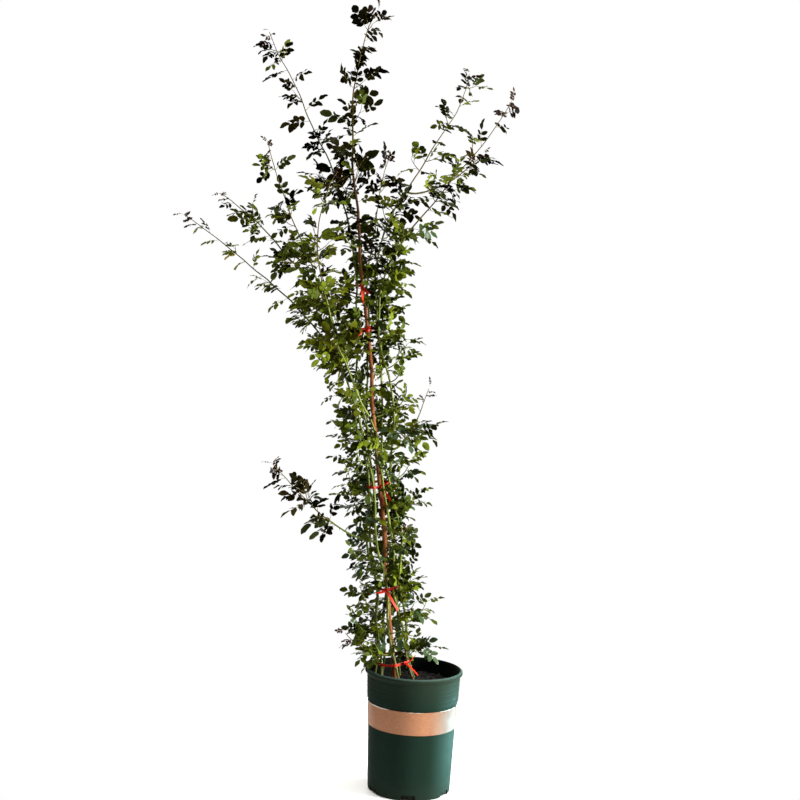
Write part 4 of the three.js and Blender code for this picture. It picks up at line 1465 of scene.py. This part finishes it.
LEFT_CANES = ("cane_front", "cane_left_high", "cane_left_far", "cane_left_top")
leaf_materials = [leaf_material(f"leaf_{name}", *facts) for name, *facts in LEAF_TONES]
stem_materials = [stem_material(f"stem_{name}", colour) for name, colour in STEM_TONES]
left = [cane for cane in canes if cane.name in LEFT_CANES]
right = [cane for cane in canes if cane not in left]
low_twigs, high_twigs = [], []
for number, (_, z) in enumerate(column_twigs(canes), 1):
    (low_twigs if z < COLUMN_SPLIT_Z else high_twigs).append(f"leaves_column_{number:02d}")
column_low = (FINE.lowest, COLUMN_SPLIT_Z, FINE.low_spacing, LOW_TONES)
column_high = (COLUMN_SPLIT_Z, math.inf, FINE.high_spacing, MIDDLE_TONES)
for limbs, name in ((left, "crown_left"), (right, "crown_right"), (shoots, "shoots")):
    grow_ends(limbs, name).make(leaf_materials, stem_materials, [f"leaves_{limb.name}" for limb in limbs])
grow_column(canes, "column_low", *column_low).make(leaf_materials, stem_materials, low_twigs)
grow_column(canes, "column_high", *column_high).make(leaf_materials, stem_materials, high_twigs)

tie_strip = tie_material()
for number, (z, lay) in enumerate(zip(TIE.heights, TIE_LAYS), 1):
    add_tie(canes, number, z, lay, tie_strip)

# Floor, light and camera. Places and sizes are in metres here, apart from the floor's drop
FLOOR = Sizes(radius=0.8, segments=96, drop_mm=0.4, colour=(0.88, 0.88, 0.88, 1.0), roughness=0.9, gloss=0.05)
# Name, place, target, width and height, watts, colour, spread in degrees
SOFTBOXES = [
    ("key_right", (2.55, -0.75, 1.05), (-0.1, 0.0, 0.85), (1.0, 1.3), 250, (0.93, 0.98, 0.88), 180),
    ("pot_right", (1.9, 1.0, 0.08), (0.0, 0.0, 0.12), (0.7, 0.12), 4.9, (0.46, 0.92, 1.0), 11),
    ("front_soft", (0.3, -3.6, 2.0), (-0.1, 0.0, 0.9), (1.6, 1.6), 12, (1.0, 0.94, 0.76), 180),
    ("back_soft", (-0.6, 3.3, 1.7), (-0.1, 0.0, 0.9), (1.6, 1.6), 70, (1.0, 0.96, 0.88), 180),
    ("left_back", (-2.3, 1.9, 1.3), (-0.1, 0.0, 0.9), (1.4, 1.6), 28, (1.0, 0.96, 0.88), 180),
]
SKY = Sizes(strength=3.6, angle_deg=70)
BACKDROP = ((1, 1, 1, 1), 1.0)
FILL = ((1, 0.9, 0.7, 1), 0.1)
CAMERA = Sizes(place=(0.0, -3.4, 1.13), pitch_deg=3.566, yaw_deg=1.05, roll_deg=2.651, focal_px=1462.4)
IMAGE_SIDE_PX = 800
SENSOR_MM = 36.0


def make_floor():
    bank = Bank()
    ring = [FLOOR.radius / MM * level_way(a) - UP * FLOOR.drop_mm for a in round_angles(FLOOR.segments)]
    bank.add(ring, [[np.arange(FLOOR.segments)]])
    finish = Finish("studio_floor", FLOOR.colour, FLOOR.roughness, FLOOR.gloss)
    put("studio_floor", bank.mesh("studio_floor", [finish.material]))


def add_softbox(name, place, target, size, watts, colour, spread_deg):
    light = bpy.data.lights.new(name, "AREA")
    light.shape = "RECTANGLE"
    light.size, light.size_y = size
    light.energy = watts
    light.color = colour
    light.spread = math.radians(spread_deg)
    lamp = put(name, light)
    lamp.location = place
    lamp.rotation_euler = (Vector(target) - Vector(place)).to_track_quat("-Z", "Y").to_euler()
    lamp.visible_camera = False


def add_sky():
    """Even light from above, as wide as an overcast sky's bright part."""
    light = bpy.data.lights.new("top_sun", "SUN")
    light.energy = SKY.strength
    light.angle = math.radians(SKY.angle_deg)
    put("top_sun", light)


def make_world():
    """White to the camera, and a dim warm fill as light on the plant."""
    world = bpy.data.worlds.new("studio_world")
    bpy.context.scene.world = world
    world.use_nodes = True
    nodes, links = world.node_tree.nodes, world.node_tree.links
    backdrop, fill = nodes["Background"], nodes.new("ShaderNodeBackground")
    for node, (colour, strength) in ((backdrop, BACKDROP), (fill, FILL)):
        node.inputs["Color"].default_value = colour
        node.inputs["Strength"].default_value = strength
    seen = nodes.new("ShaderNodeLightPath")
    switch = nodes.new("ShaderNodeMixShader")
    links.new(seen.outputs["Is Camera Ray"], switch.inputs["Fac"])
    links.new(fill.outputs["Background"], switch.inputs[1])
    links.new(backdrop.outputs["Background"], switch.inputs[2])
    links.new(switch.outputs["Shader"], nodes["World Output"].inputs["Surface"])


def make_camera():
    pitch, yaw, roll = map(math.radians, (CAMERA.pitch_deg, CAMERA.yaw_deg, CAMERA.roll_deg))
    ahead = Vector((-math.sin(yaw) * math.cos(pitch), math.cos(yaw) * math.cos(pitch), -math.sin(pitch)))
    right = ahead.cross(Vector((0, 0, 1))).normalized()
    top = right.cross(ahead)
    rolled_right = right * math.cos(roll) + top * math.sin(roll)
    rolled_top = top * math.cos(roll) - right * math.sin(roll)
    data = bpy.data.cameras.new("camera")
    data.sensor_width = SENSOR_MM
    data.lens = SENSOR_MM * CAMERA.focal_px / IMAGE_SIDE_PX
    camera = put("camera", data)
    turn = Matrix((rolled_right, rolled_top, -ahead)).transposed()
    camera.matrix_world = Matrix.Translation(CAMERA.place) @ turn.to_4x4()
    bpy.context.scene.camera = camera


make_floor()
make_world()
make_camera()
for softbox in SOFTBOXES:
    add_softbox(*softbox)
add_sky()
bpy.context.scene.view_settings.view_transform = "Standard"
